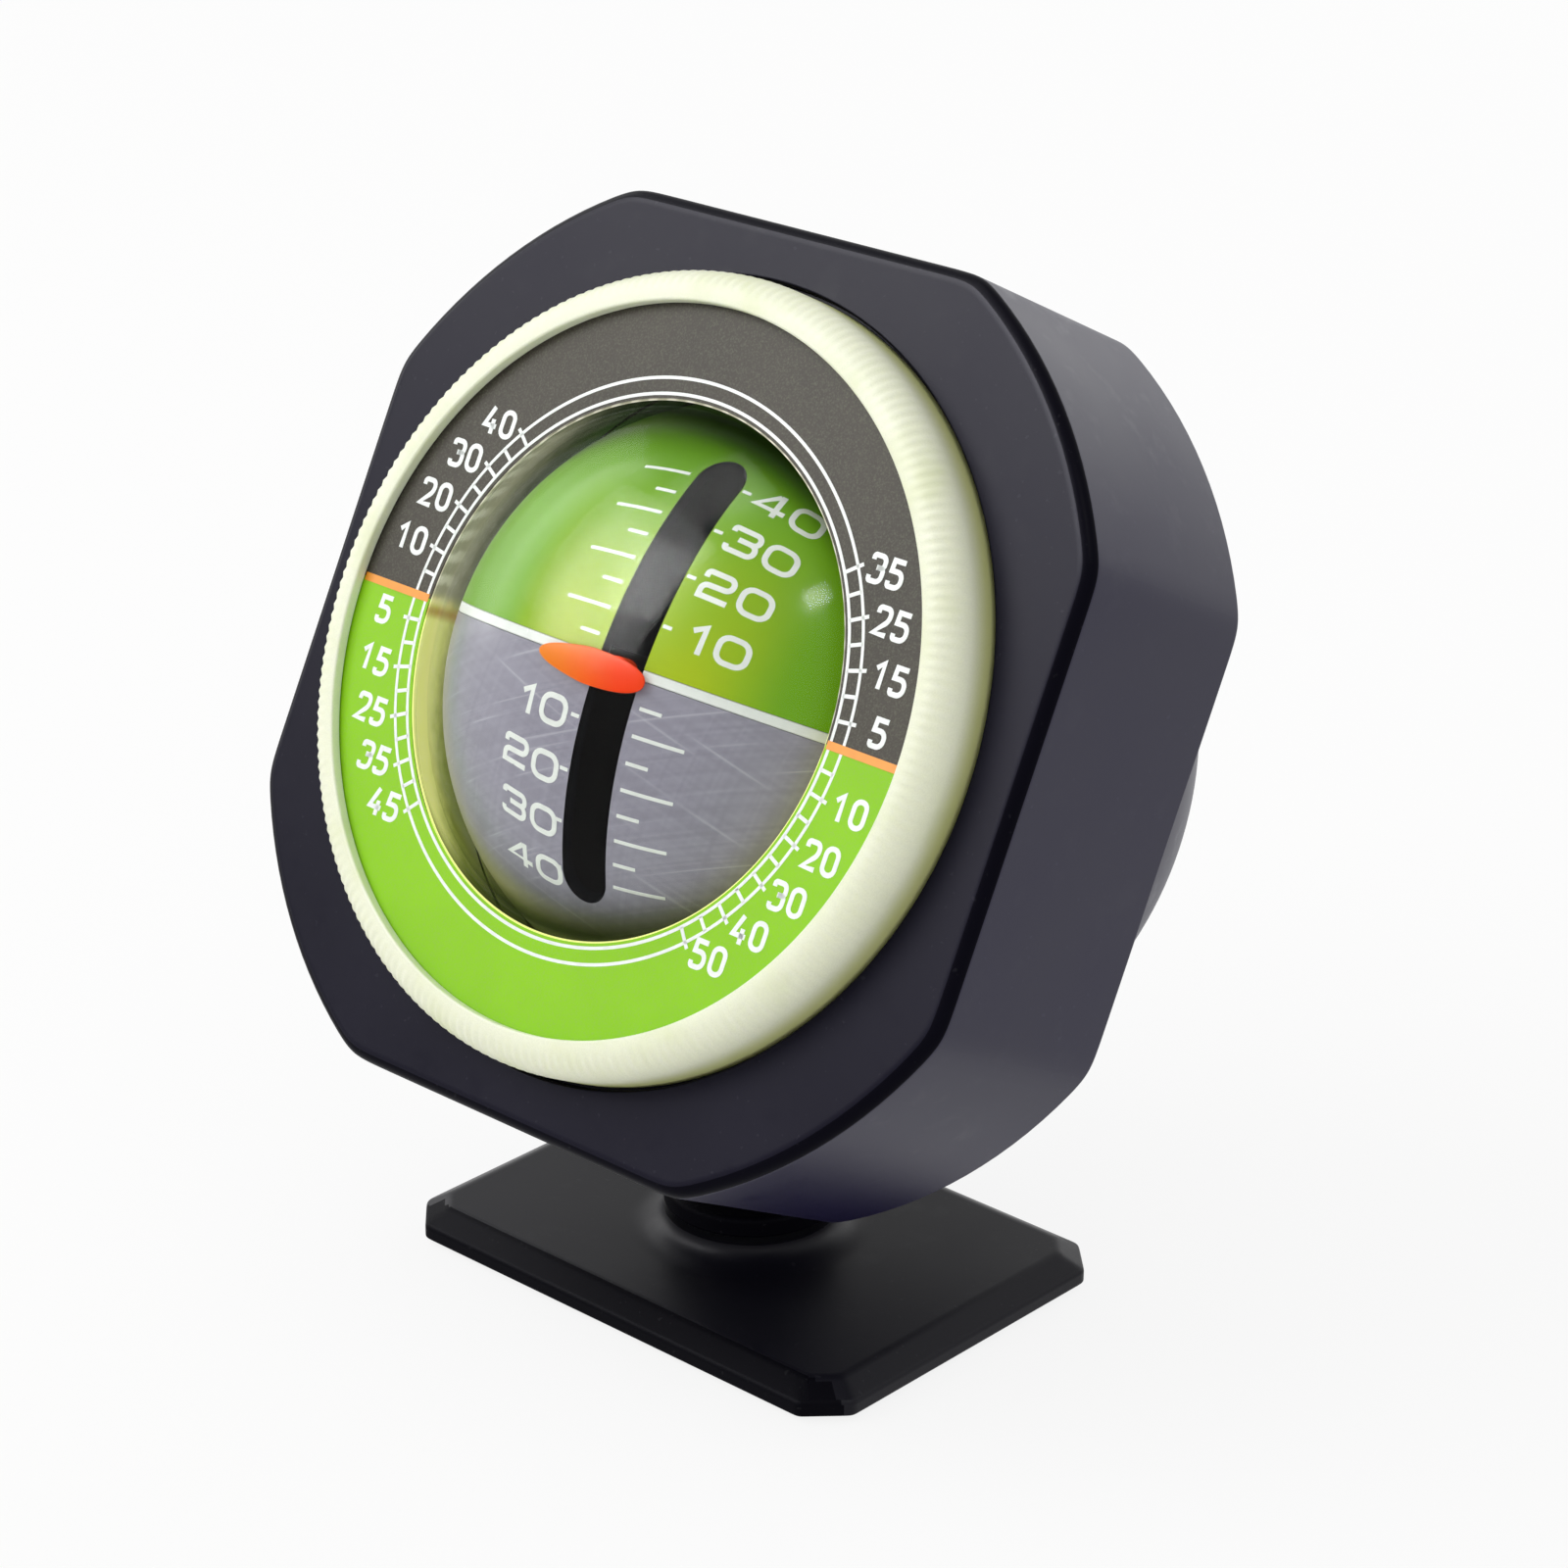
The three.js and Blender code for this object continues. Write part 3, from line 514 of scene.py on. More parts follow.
WIDE_FIGURES = {
    "0": [([(0, 0, 0.8), (1, 0, 0.8), (1, 1, 0.8), (0, 1, 0.8)], True)],
    "1": [([(0.42, 0.74, 0), (0.82, 1, 0), (0.82, -0.06, 0)], False)],
    "2": [
        (
            [(0, 0.74, 0), (0, 1, 0.8), (1, 1, 0.8), (1, 0.5, 0.8), (0, 0.46, 0.8), (0, 0, 0), (1.03, 0, 0)],
            False,
        )
    ],
    "3": [
        ([(0, 0.8, 0), (0, 1, 0.8), (1, 1, 0.8), (1, 0.53, 0.8), (0.3, 0.53, 0)], False),
        ([(0.38, 0.53, 0), (1, 0.53, 0.8), (1, 0, 0.8), (0, 0, 0.8), (0, 0.2, 0)], False),
    ],
    "4": [
        ([(0.66, 0.98, 0), (0, 0.25, 0), (1.1, 0.25, 0)], False),
        ([(0.76, 1.06, 0), (0.76, -0.06, 0)], False),
    ],
}


def figures(text, shapes, width, height, stroke, gap):
    """A number's strokes, its figures side by side about the origin. A figure's box is its outer
    size, so its middle lines lie half a stroke inside."""
    inner = np.array([width - stroke, height - stroke])
    total = len(text) * width + (len(text) - 1) * gap
    bands = []
    for place, figure in enumerate(text):
        corner = np.array([place * (width + gap) + stroke / 2 - total / 2, (stroke - height) / 2])
        for corners, closed in shapes[figure]:
            x, z, roundness = np.array(corners, float).T
            path = corner + np.stack([x, z], axis=1) * inner
            path = softened(path, roundness * inner.min() * ARC_SHARE, 5, closed)
            bands.append(ribbon(path, stroke, closed=closed))
    return bands


def straight(start, end, width, lift=PRINT_LIFT):
    """A straight band from one (x, z) to another, in short steps so that it can lie on a ball."""
    share = np.linspace(0, 1, 7)[:, None]
    return ribbon(np.asarray(start) * (1 - share) + np.asarray(end) * share, width, lift)


# Shader maths and nodes


class Socket:
    """A node's output, with the arithmetic that a shader needs."""

    def __init__(self, finish, output):
        self.finish = finish
        self.output = output

    def _math(self, operation, first, second):
        return self.finish.node("Math", {"operation": operation}, {0: first, 1: second})

    def __add__(self, other):
        return self._math("ADD", self, other)

    def __sub__(self, other):
        return self._math("SUBTRACT", self, other)

    def __mul__(self, other):
        return self._math("MULTIPLY", self, other)

    def __pow__(self, other):
        return self._math("POWER", self, other)

    def __rsub__(self, other):
        return self._math("SUBTRACT", other, self)

    __radd__ = __add__
    __rmul__ = __mul__

    def rise(self, start, end):
        """0 up to start, 1 from end, and smooth between."""
        sockets = {"Value": self, "From Min": start, "From Max": end}
        return self.finish.node("MapRange", {"interpolation_type": "SMOOTHSTEP"}, sockets)


class Finish:
    """A material while it is written."""

    def __init__(self, name, constants=()):
        self.material = bpy.data.materials.new(name)
        self.material.use_nodes = True
        self.tree = self.material.node_tree
        self.shader = self.tree.nodes["Principled BSDF"]
        for socket, value in dict(constants).items():
            self.shader.inputs[socket].default_value = value

    def node(self, kind, settings=(), sockets=(), output=0):
        """A node of a kind, with its settings made first, then its sockets' values and links."""
        made = self.tree.nodes.new("ShaderNode" + kind)
        for name, value in dict(settings).items():
            setattr(made, name, value)
        for name, value in dict(sockets).items():
            if isinstance(value, Socket):
                self.tree.links.new(value.output, made.inputs[name])
            else:
                made.inputs[name].default_value = value
        return Socket(self, made.outputs[output])

    def put(self, socket, value):
        """Links a value to one of the shader's sockets."""
        self.tree.links.new(value.output, self.shader.inputs[socket])

    def local(self):
        """Object coordinates, in metres."""
        return self.node("TexCoord", output=3)

    def local_to(self, place, turn):
        """Object coordinates in a place's own axes: turned by its angles, then moved to its origin."""
        move = -(place.axes @ place.origin)
        return self.node(
            "Mapping", {}, {"Vector": self.local(), "Rotation": turn, "Location": tuple(move)}
        )

    def apart(self, vector):
        """A vector's three numbers."""
        whole = self.node("SeparateXYZ", {}, {0: vector})
        return [Socket(self, output) for output in whole.output.node.outputs]

    def noise(self, vector, size, detail=2.0, roughness=0.5):
        """Cloudy noise, about 0.5, whose patches are about a size across, in metres."""
        sockets = {"Vector": vector, "Scale": 1 / size, "Detail": detail, "Roughness": roughness}
        return self.node("TexNoise", {}, sockets)

    def stretched(self, vector, scale):
        """A vector times a scale along each axis: a scale under 1 draws a pattern out along it."""
        return self.node("Mapping", {}, {"Vector": vector, "Scale": scale})

    def blend(self, mask, first, second):
        """The first colour where the mask is 0 and the second where it is 1."""
        return self.node("Mix", {"data_type": "RGBA"}, {0: mask, 6: first, 7: second}, output=2)

    def bump(self, height, strength, distance):
        """Raises the surface's shading by a height from 0 to 1, times a distance."""
        sockets = {"Height": height, "Strength": strength, "Distance": distance}
        self.put("Normal", self.node("Bump", {}, sockets))


def tinted(shade, factor, lift=0.0):
    """A colour times a factor, with some grey added."""
    return (*[min(1.0, channel * factor + lift) for channel in shade[:3]], 1.0)


# How far across the patterns of the finishes are, and how high their relief is
CLOUD_SIZE = mm(14)
SCUFF_SIZE = mm(3.5)
SPECK_SIZE = mm(0.55)
SWELL_SIZE = mm(5)
THIN_PAINT_SIZE = mm(1.1)
PAINT_PEEL_SIZE = mm(0.35)
PAINT_PEEL_HEIGHT = mm(0.004)
LINE_SIZE = mm(0.25)
LINE_DEPTH = mm(0.01)
DULL_SIZE = mm(1.6)


def moulded(name, shade, roughness, grain, height, specular=0.15, cloud=0.12):
    """Moulded plastic: a clouded colour, rubbed patches that shine a little more, faint dust and a
    fine sand grain."""
    finish = Finish(name, {"Specular IOR Level": specular})
    where = finish.local()
    cloudy = finish.noise(where, CLOUD_SIZE, 3.0)
    rubbed = finish.noise(where, SCUFF_SIZE, 5.0, 0.65).rise(0.52, 0.74)
    specks = finish.noise(where, SPECK_SIZE, 1.0).rise(0.71, 0.78)
    base = finish.blend(cloudy, tinted(shade, 1 - cloud), tinted(shade, 1 + cloud))
    finish.put("Base Color", finish.blend(specks * 0.35, base, tinted(shade, 1.6, 0.02)))
    finish.put("Roughness", roughness + (cloudy - 0.5) * 0.16 - rubbed * 0.07)
    sand = finish.noise(where, grain, 2.0) + finish.noise(where, SWELL_SIZE, 2.0) * 0.6
    finish.bump(sand, 0.35, height)
    return finish.material


def painted(name, shade):
    """Printed paint: an even colour with thin patches, and a slight orange-peel surface."""
    finish = Finish(name, {"Specular IOR Level": 0.4})
    where = finish.local()
    thin = finish.noise(where, THIN_PAINT_SIZE, 3.0)
    finish.put("Base Color", finish.blend(thin.rise(0.35, 0.8), shade, tinted(shade, 0.9)))
    finish.put("Roughness", 0.4 + (thin - 0.5) * 0.2)
    finish.bump(finish.noise(where, PAINT_PEEL_SIZE, 2.0), 0.3, PAINT_PEEL_HEIGHT)
    return finish.material


def metal(name, shade, roughness, place, turn, stretch):
    """Machined metal: fine lines along one direction of its place, and dull patches."""
    finish = Finish(name, {"Metallic": 1.0})
    where = finish.local_to(place, turn)
    lines = finish.noise(finish.stretched(where, stretch), LINE_SIZE, 3.0)
    dull = finish.noise(where, DULL_SIZE, 4.0)
    finish.put("Base Color", finish.blend(dull, tinted(shade, 0.82), shade))
    finish.put("Roughness", roughness + (dull - 0.5) * 0.25 + (lines - 0.5) * 0.15)
    finish.bump(lines, 0.25, LINE_DEPTH)
    return finish.material


# How the axes of the head and the gimbal are turned, and the directions that machined lines follow
HEAD_TURN = (HEAD_LEAN, 0, 0)
GIMBAL_TURNS = (HEAD_LEAN, 0, -GIMBAL_TURN)
ALONG_X = (0.08, 1, 1)
ALONG_Y = (1, 0.08, 1)

GLOW_CLOUD = srgb(226, 232, 190)
# Painted shade: the ring's darker green towards its foot by the case
GLOW_FOOT_SHADE = srgb(196, 200, 116)
GLOW_FOOT_HIGH, GLOW_FOOT_LOW = -mm(2.7), -mm(0.1)
GLOW_SCATTER = (mm(1.2), mm(1.3), mm(0.7))
GLOW_GRAIN_SIZE = mm(0.12)
GLOW_CLOUD_SIZE = mm(6)
FINE_RELIEF = mm(0.006)
LOW_RELIEF = mm(0.01)
HIGH_RELIEF = mm(0.02)


def glow_plastic(dial):
    """Phosphorescent cream plastic: waxy, with fine grains, and darker and greener towards its foot by the
    case, a painted shade.
    """
    finish = Finish(
        "glow_plastic",
        {"Specular IOR Level": 0.2, "Subsurface Radius": GLOW_SCATTER, "Subsurface Scale": 1.0,
         "Subsurface Weight": 0.25},
    )
    where = finish.local_to(HEAD, HEAD_TURN)
    _, depth, _ = finish.apart(where)
    grains = finish.noise(where, GLOW_GRAIN_SIZE, 2.0)
    cloudy = finish.noise(where, GLOW_CLOUD_SIZE, 3.0)
    cream = finish.blend(grains.rise(0.3, 0.8), dial.glow, tinted(dial.glow, 0.93))
    cream = finish.blend(cloudy.rise(0.45, 0.9), cream, GLOW_CLOUD)
    # Painted shade: the colour darkens to green towards the ring's foot
    foot = depth.rise(GLOW_FOOT_HIGH, GLOW_FOOT_LOW) * 0.8
    finish.put("Base Color", finish.blend(foot, cream, GLOW_FOOT_SHADE))
    finish.put("Roughness", 0.48 + (cloudy - 0.5) * 0.15)
    finish.bump(grains + cloudy, 0.3, LOW_RELIEF)
    return finish.material


PRINT_GRAIN = srgb(150, 156, 130)
PRINT_EDGE = mm(0.02)
PRINT_CLOUD_SIZE = mm(9)
PRINT_GRAIN_SIZE = mm(0.16)


def dial_print(dial):
    """The dial's print: charcoal above the zero line and green below it, on satin plastic."""
    finish = Finish("dial_print", {"Specular IOR Level": 0.14})
    where = finish.local_to(HEAD, HEAD_TURN)
    x, _, z = finish.apart(where)
    above = (z - x * math.tan(dial.print_turn)).rise(-PRINT_EDGE, PRINT_EDGE)
    cloudy = finish.noise(where, PRINT_CLOUD_SIZE, 3.0)
    grains = finish.noise(where, PRINT_GRAIN_SIZE, 2.0)
    sky = finish.blend(cloudy.rise(0.3, 0.7), dial.sky, tinted(dial.sky, 1.25))
    ground = finish.blend(cloudy.rise(0.3, 0.7), dial.ground, tinted(dial.ground, 0.94))
    both = finish.blend(above, ground, sky)
    finish.put("Base Color", finish.blend(grains.rise(0.4, 0.9) * 0.2, both, PRINT_GRAIN))
    finish.put("Roughness", 0.46 + (cloudy - 0.5) * 0.12)
    finish.bump(grains, 0.2, FINE_RELIEF)
    return finish.material


# The clear edge's painted refraction of the dial, by the dial, further in and deepest in painted shade: below
# the zero line, and above it
EDGE_LOW = (srgb(214, 216, 134), srgb(114, 122, 52), srgb(92, 96, 56))
EDGE_HIGH = (srgb(146, 144, 122), srgb(66, 74, 52), srgb(40, 62, 26))
# Painted refraction of the scale's ticks and of the zero line
EDGE_REPEATS = srgb(196, 194, 176)
EDGE_ZERO = srgb(150, 112, 48)
EDGE_REPEAT_COUNT = 72
EDGE_CLOUD_SIZE = mm(1.4)
EDGE_UNEVEN = mm(2)
EDGE_SINKS = (mm(1.5), mm(6.5))
EDGE_DEEPENS = (mm(5.5), mm(9))
EDGE_REPEATS_FADE = (-mm(1), mm(3))
EDGE_ABOVE = (-mm(0.8), mm(1.2))
EDGE_ZERO_DROP = mm(0.7)
EDGE_ZERO_HALF = mm(0.9)


def liner_tint():
    """The clear edge carries a painted refraction of the dial: cream and olive below the zero line, and
    grey above it with faint repeats of the scale. It darkens with depth, a painted shade, and glows
    with its own colour, a painted glow that stands in for light led through the clear plastic."""
    # Painted glow: the edge gives off its own colour, though it is no lamp
    finish = Finish("liner_tint", {"Specular IOR Level": 0.12, "Emission Strength": 0.75})
    where = finish.local_to(HEAD, HEAD_TURN)
    x, depth, z = finish.apart(where)
    cloudy = finish.noise(where, EDGE_CLOUD_SIZE, 3.0, 0.6)
    uneven = depth + (cloudy - 0.5) * EDGE_UNEVEN
    # Painted shade: the edge darkens with depth
    sink, deep = uneven.rise(*EDGE_SINKS), uneven.rise(*EDGE_DEEPENS)
    turn = finish.node("Math", {"operation": "ARCTAN2"}, {0: z, 1: x})
    waves = turn * EDGE_REPEAT_COUNT + (cloudy - 0.5) * 2.5
    wave = finish.node("Math", {"operation": "COSINE"}, {0: waves})
    repeats = wave.rise(-0.6, 1.0) * (1 - depth.rise(*EDGE_REPEATS_FADE))
    low = finish.blend(sink, EDGE_LOW[0], EDGE_LOW[1])
    low = finish.blend(deep, low, EDGE_LOW[2])
    high = finish.blend(sink, EDGE_HIGH[0], EDGE_HIGH[1])
    high = finish.blend(repeats * 0.75, high, EDGE_REPEATS)
    high = finish.blend(deep, high, EDGE_HIGH[2])
    both = finish.blend(z.rise(*EDGE_ABOVE), low, high)
    height = z + EDGE_ZERO_DROP
    zero = height.rise(-EDGE_ZERO_HALF, 0) * (1 - height.rise(0, EDGE_ZERO_HALF))
    painted_refraction = finish.blend(zero * (1 - deep) * 0.8, both, EDGE_ZERO)
    finish.put("Base Color", painted_refraction)
    finish.put("Emission Color", painted_refraction)
    finish.put("Roughness", 0.3 + cloudy * 0.2)
    finish.bump(cloudy, 0.2, HIGH_RELIEF)
    return finish.material


# The lens's reflection where it is seen straight on, and what it gains towards the limb
LENS_VEIL = 0.006
LENS_GLANCE = 0.15
LENS_CLEAR = (0.985, 0.99, 0.98, 1)
# Painted shade: the darker see-through colour by the dial, and where it starts, ends and lies
LENS_PAINTED_SHADE = (0.24, 0.29, 0.2, 1)
SHADE_START = mm(18.8)
SHADE_END = mm(21.5)
SHADE_WIDTH_SHARE = 0.72
SHADE_FRONT, SHADE_BACK = -mm(2.6), -mm(1.8)
HAIRLINE_SIZE = mm(0.3)


def clear_plastic():
    """Clear polished plastic: what is behind shows, with gloss that grows towards the limb, a few
    hairline scratches, and a darker edge by the dial, broader at the top and the bottom: a painted
    shade that stands in for the dial's shadow on the ball."""
    finish = Finish("clear_plastic")
    nodes, links = finish.tree.nodes, finish.tree.links
    facing = finish.node("LayerWeight", {}, {"Blend": 0.5}, output=1)
    where = finish.local_to(HEAD, HEAD_TURN)
    x, depth, z = finish.apart(where)
    # Painted shade: a darker see-through ring by the dial, fixed to the head
    rim_shade = ((x * x) * SHADE_WIDTH_SHARE + z * z).rise(SHADE_START**2, SHADE_END**2)
    rim_shade = rim_shade * (1 - depth.rise(SHADE_FRONT, SHADE_BACK))
    scratch = finish.noise(finish.stretched(where, (0.12, 1, 1)), HAIRLINE_SIZE, 3.0).rise(0.66, 0.7)
    gloss = LENS_VEIL + facing**5.0 * LENS_GLANCE + scratch * 0.004
    clear = finish.node("BsdfTransparent", {}, {"Color": LENS_CLEAR})
    shaded_clear = finish.node("BsdfTransparent", {}, {"Color": LENS_PAINTED_SHADE})
    seen = finish.node("MixShader", {}, {0: rim_shade, 1: clear, 2: shaded_clear})
    shine = finish.node("BsdfAnisotropic", {}, {"Roughness": 0.075})
    mixed = finish.node("MixShader", {}, {0: gloss, 1: seen, 2: shine})
    links.new(mixed.output, nodes["Material Output"].inputs["Surface"])
    nodes.remove(finish.shader)
    return finish.material


# Painted shade towards the top, and painted sheen by the slot above the horizon, with its reach
GREEN_TOP_SHADE = srgb(78, 126, 18)
GREEN_SLOT_SHEEN = srgb(172, 196, 14)
GREEN_LOW_FROM = mm(1)
GREEN_NEAR, GREEN_FAR = mm(5), mm(13)
GREEN_CLOUD_SIZE = mm(8)
GREEN_GRAIN_SIZE = mm(0.5)


def ball_green(ball):
    """Satin green shell: lighter and yellower by the slot above the horizon, a painted sheen, and darker
    towards the top, a painted shade.
    """
    finish = Finish("green_shell", {"Specular IOR Level": 0.1, "Coat Roughness": 0.12})
    where = finish.local_to(GIMBAL, GIMBAL_TURNS)
    x, _, z = finish.apart(where)
    cloudy = finish.noise(where, GREEN_CLOUD_SIZE, 3.0)
    # Painted shade: darker towards the top
    top = z.rise(ball.radius * 0.45, ball.radius)
    # Painted sheen: lighter and yellower by the slot above the horizon
    low = 1 - z.rise(GREEN_LOW_FROM, ball.radius * 0.66)
    base = finish.blend(top, ball.sky, GREEN_TOP_SHADE)
    near = 1 - (x * x).rise(GREEN_NEAR**2, GREEN_FAR**2)
    base = finish.blend(low * near, base, GREEN_SLOT_SHEEN)
    finish.put("Base Color", finish.blend(cloudy.rise(0.4, 0.9) * 0.4, base, tinted(ball.sky, 1.2)))
    finish.put("Roughness", 0.3 + (cloudy - 0.5) * 0.12)
    finish.put("Coat Weight", 0.07 + cloudy * 0.04)
    finish.bump(finish.noise(where, GREEN_GRAIN_SIZE, 2.0), 0.15, LOW_RELIEF)
    return finish.material


GREY_SCRATCH = srgb(196, 194, 206)
GREY_CLOUD = srgb(166, 163, 178)
GREY_CLOUD_SIZE = mm(10)
# Each set of streaks: its slant in radians and how wide a streak is
STREAKS = ((0.42, mm(0.32)), (-0.3, mm(0.5)), (1.35, mm(0.4)))
STREAK_STRETCH = (0.01, 0.05, 1)


def ball_grey(ball):
    """Satin grey shell with fine brushed streaks that cross it at a slant."""
    finish = Finish("grey_shell", {"Specular IOR Level": 0.2, "Coat Roughness": 0.15})
    where = finish.local_to(GIMBAL, GIMBAL_TURNS)
    streaks = []
    for slant, size in STREAKS:
        slanted = finish.node("Mapping", {}, {"Vector": where, "Rotation": (0, slant, 0)})
        streaks.append(finish.noise(finish.stretched(slanted, STREAK_STRETCH), size, 1.5, 0.55))
    streaky = streaks[0] * 0.4 + streaks[1] * 0.3 + streaks[2] * 0.3
    scratches = streaks[0].rise(0.66, 0.74) + streaks[1].rise(0.68, 0.76)
    cloudy = finish.noise(where, GREY_CLOUD_SIZE, 2.0)
    base = finish.blend(streaky.rise(0.38, 0.64), tinted(ball.ground, 0.88), tinted(ball.ground, 1.08))
    base = finish.blend(scratches * 0.35, base, GREY_SCRATCH)
    finish.put("Base Color", finish.blend(cloudy.rise(0.4, 0.9) * 0.35, base, GREY_CLOUD))
    finish.put("Roughness", 0.34 + (streaky - 0.5) * 0.3)
    finish.put("Coat Weight", 0.12 + cloudy * 0.08)
    finish.bump(streaky, 0.3, HIGH_RELIEF)
    return finish.material


INSIDE_BLACK = srgb(16, 16, 20)
WHITE_RIM_START, WHITE_RIM_END = mm(0.5), mm(0.35)
WHITE_THIN_SIZE = mm(1.2)


def horizon_plastic(dial, ball):
    """White at the ball's surface and black inside it."""
    finish = Finish("horizon_plastic", {"Specular IOR Level": 0.4})
    where = finish.local_to(GIMBAL, GIMBAL_TURNS)
    reach = finish.node("VectorMath", {"operation": "LENGTH"}, {0: where}, output=1)
    thin = finish.noise(where, WHITE_THIN_SIZE, 3.0)
    rim = reach.rise(ball.radius - WHITE_RIM_START, ball.radius - WHITE_RIM_END)
    white = finish.blend(thin.rise(0.4, 0.8), dial.white, tinted(dial.white, 0.92))
    finish.put("Base Color", finish.blend(rim, INSIDE_BLACK, white))
    finish.put("Roughness", 0.4 + (thin - 0.5) * 0.2)
    finish.bump(thin, 0.2, LOW_RELIEF)
    return finish.material


POINTER_CLOUD = tinted(srgb(255, 92, 24), 0.85)
# Painted highlight: where the pointer's paler end fades out
POINTER_LIT_END = mm(1.5)
POINTER_CLOUD_SIZE = mm(1.5)
POINTER_GRAIN_SIZE = mm(0.2)


def pointer_plastic(ball):
    """Orange plastic, a little paler to one end, a painted highlight, with a soft gloss."""
    finish = Finish("pointer_plastic", {"Specular IOR Level": 0.08, "Coat Roughness": 0.3})
    where = finish.local_to(GIMBAL, GIMBAL_TURNS)
    x, _, _ = finish.apart(where)
    cloudy = finish.noise(where, POINTER_CLOUD_SIZE, 3.0)
    # Painted highlight: paler towards one end
    pale = 1 - x.rise(-ball.pointer_length / 2 - ball.pointer_shift, POINTER_LIT_END)
    base = finish.blend(pale, ball.pointer, ball.pointer_pale)
    finish.put("Base Color", finish.blend(cloudy.rise(0.5, 0.9) * 0.4, base, POINTER_CLOUD))
    finish.put("Roughness", 0.36 + (cloudy - 0.5) * 0.15)
    finish.put("Coat Weight", 0.04 + cloudy * 0.06)
    finish.bump(finish.noise(where, POINTER_GRAIN_SIZE, 2.0), 0.2, FINE_RELIEF)
    return finish.material


# Head pieces

CASE_CORNER_SPREAD = 3.6
CASE_SIDE_BLEND = mm(0.01)
# How far a flat is carried on past its rounded edge, to where the next part of a profile starts
FACE_LEAD = mm(1.2)
FACE_RUN = mm(3)


def case_angles(case):
    """Directions round the case, closer together where its flats meet its circle."""
    meet = math.degrees(math.acos(case.half_flat / (case.half_flat + case.corner_reach)))
    corners = [side * 90 + sign * meet for side in range(4) for sign in (-1, 1)]
    return dense_angles(corners, CASE_CORNER_SPREAD, 7, 2.25)


def case_outline(case, angles, inset):
    """The case's outline, moved in by an inset: the nearer of its four flats and its circle."""
    flats = [case.half_flat - inset] * 4
    sides = half_planes(angles, flats, np.radians([0, 90, 180, 270]), CASE_SIDE_BLEND)
    circle = np.full_like(angles, case.half_flat + case.corner_reach - inset)
    return least([sides, circle], case.corner_blend)


def case_loops(case, angles, profile):
    """A profile of (inset, depth) carried along the case's outline."""
    return np.array([case_outline(case, angles, inset) for inset, _ in profile]), profile[:, 1]


def round_loops(angles, profile):
    """A profile of (radius, depth) carried round a circle."""
    profile = np.asarray(profile, float)
    return profile[:, :1] + 0 * angles, profile[:, 1]


def joined_loops(angles, *parts, closed_rows=True):
    """One lofted shape from several runs of loops, each a pair of radii and depths."""
    radii = np.concatenate([radii for radii, _ in parts])
    return loft(radii, np.concatenate([depths for _, depths in parts]), angles, closed_rows)


def sphere_bore(radius, centre, start, end, steps=8):
    """Points (radius, depth) on a sphere about a depth, from one depth to another."""
    depth = np.linspace(start, end, steps)
    return np.stack([np.sqrt(radius**2 - (depth - centre) ** 2), depth], axis=1)


LENS_CLEARANCE = mm(0.3)
RECESS_DEPTH = mm(1.2)
SEAT_RADIUS = mm(30.02)
SEAT_FRONT = mm(2.58)
SEAT_SOFT = mm(0.1)
MOUTH_SOFT = mm(0.22)
CASE_BACK_SOFT = mm(0.4)
CASE_INNER_SOFT = mm(0.25)


def case_front_shape(case, dial, ball):
    """The case front: the window's bore, the dial's seat, the ring's recess, the face, the
    rounded front edge, the sides and the inside, as one profile round the head's axis."""
    angles = case_angles(case)
    bore = sphere_bore(ball.lens_radius + LENS_CLEARANCE, CAPSULE_DEPTH, case.face_thickness, -SEAT_FRONT)
    recess = dial.glow_radius + LENS_CLEARANCE
    mouth = [(SEAT_RADIUS, -SEAT_FRONT), (SEAT_RADIUS, RECESS_DEPTH), (recess, RECESS_DEPTH),
             (recess, 0), (recess + FACE_LEAD, 0)]
    mouth = softened(mouth, [0, SEAT_SOFT, SEAT_SOFT, MOUTH_SOFT, 0], 4)
    outside = [(FACE_RUN, 0), (0, 0), (0, case.depth), (case.wall, case.depth),
               (case.wall, case.face_thickness)]
    outside = softened(outside, [0, case.front_round, CASE_BACK_SOFT, CASE_INNER_SOFT, 0], 9)
    inner = round_loops(angles, np.concatenate([bore, mouth]))
    return joined_loops(angles, inner, case_loops(case, angles, outside))


SCREW_RECESS = mm(1.25)
SCREW_ROOM = mm(0.3)
SCREW_BORE = mm(1.3)
BORE_START, BORE_END = -mm(3), mm(1)
SCREW_HEAD_HEIGHT = mm(1.0)
SCREW_SHANK_RADIUS = mm(1)
SCREW_SHANK_LENGTH = mm(10.4)
SCREW_SINK = mm(0.04)
COVER_FRONT_SOFT = mm(0.1)
COVER_BACK_SOFT = mm(0.25)
DOME_FOOT_LEAD = mm(2)
DOME_FILLET = mm(1.0)
DOME_START = math.radians(4)


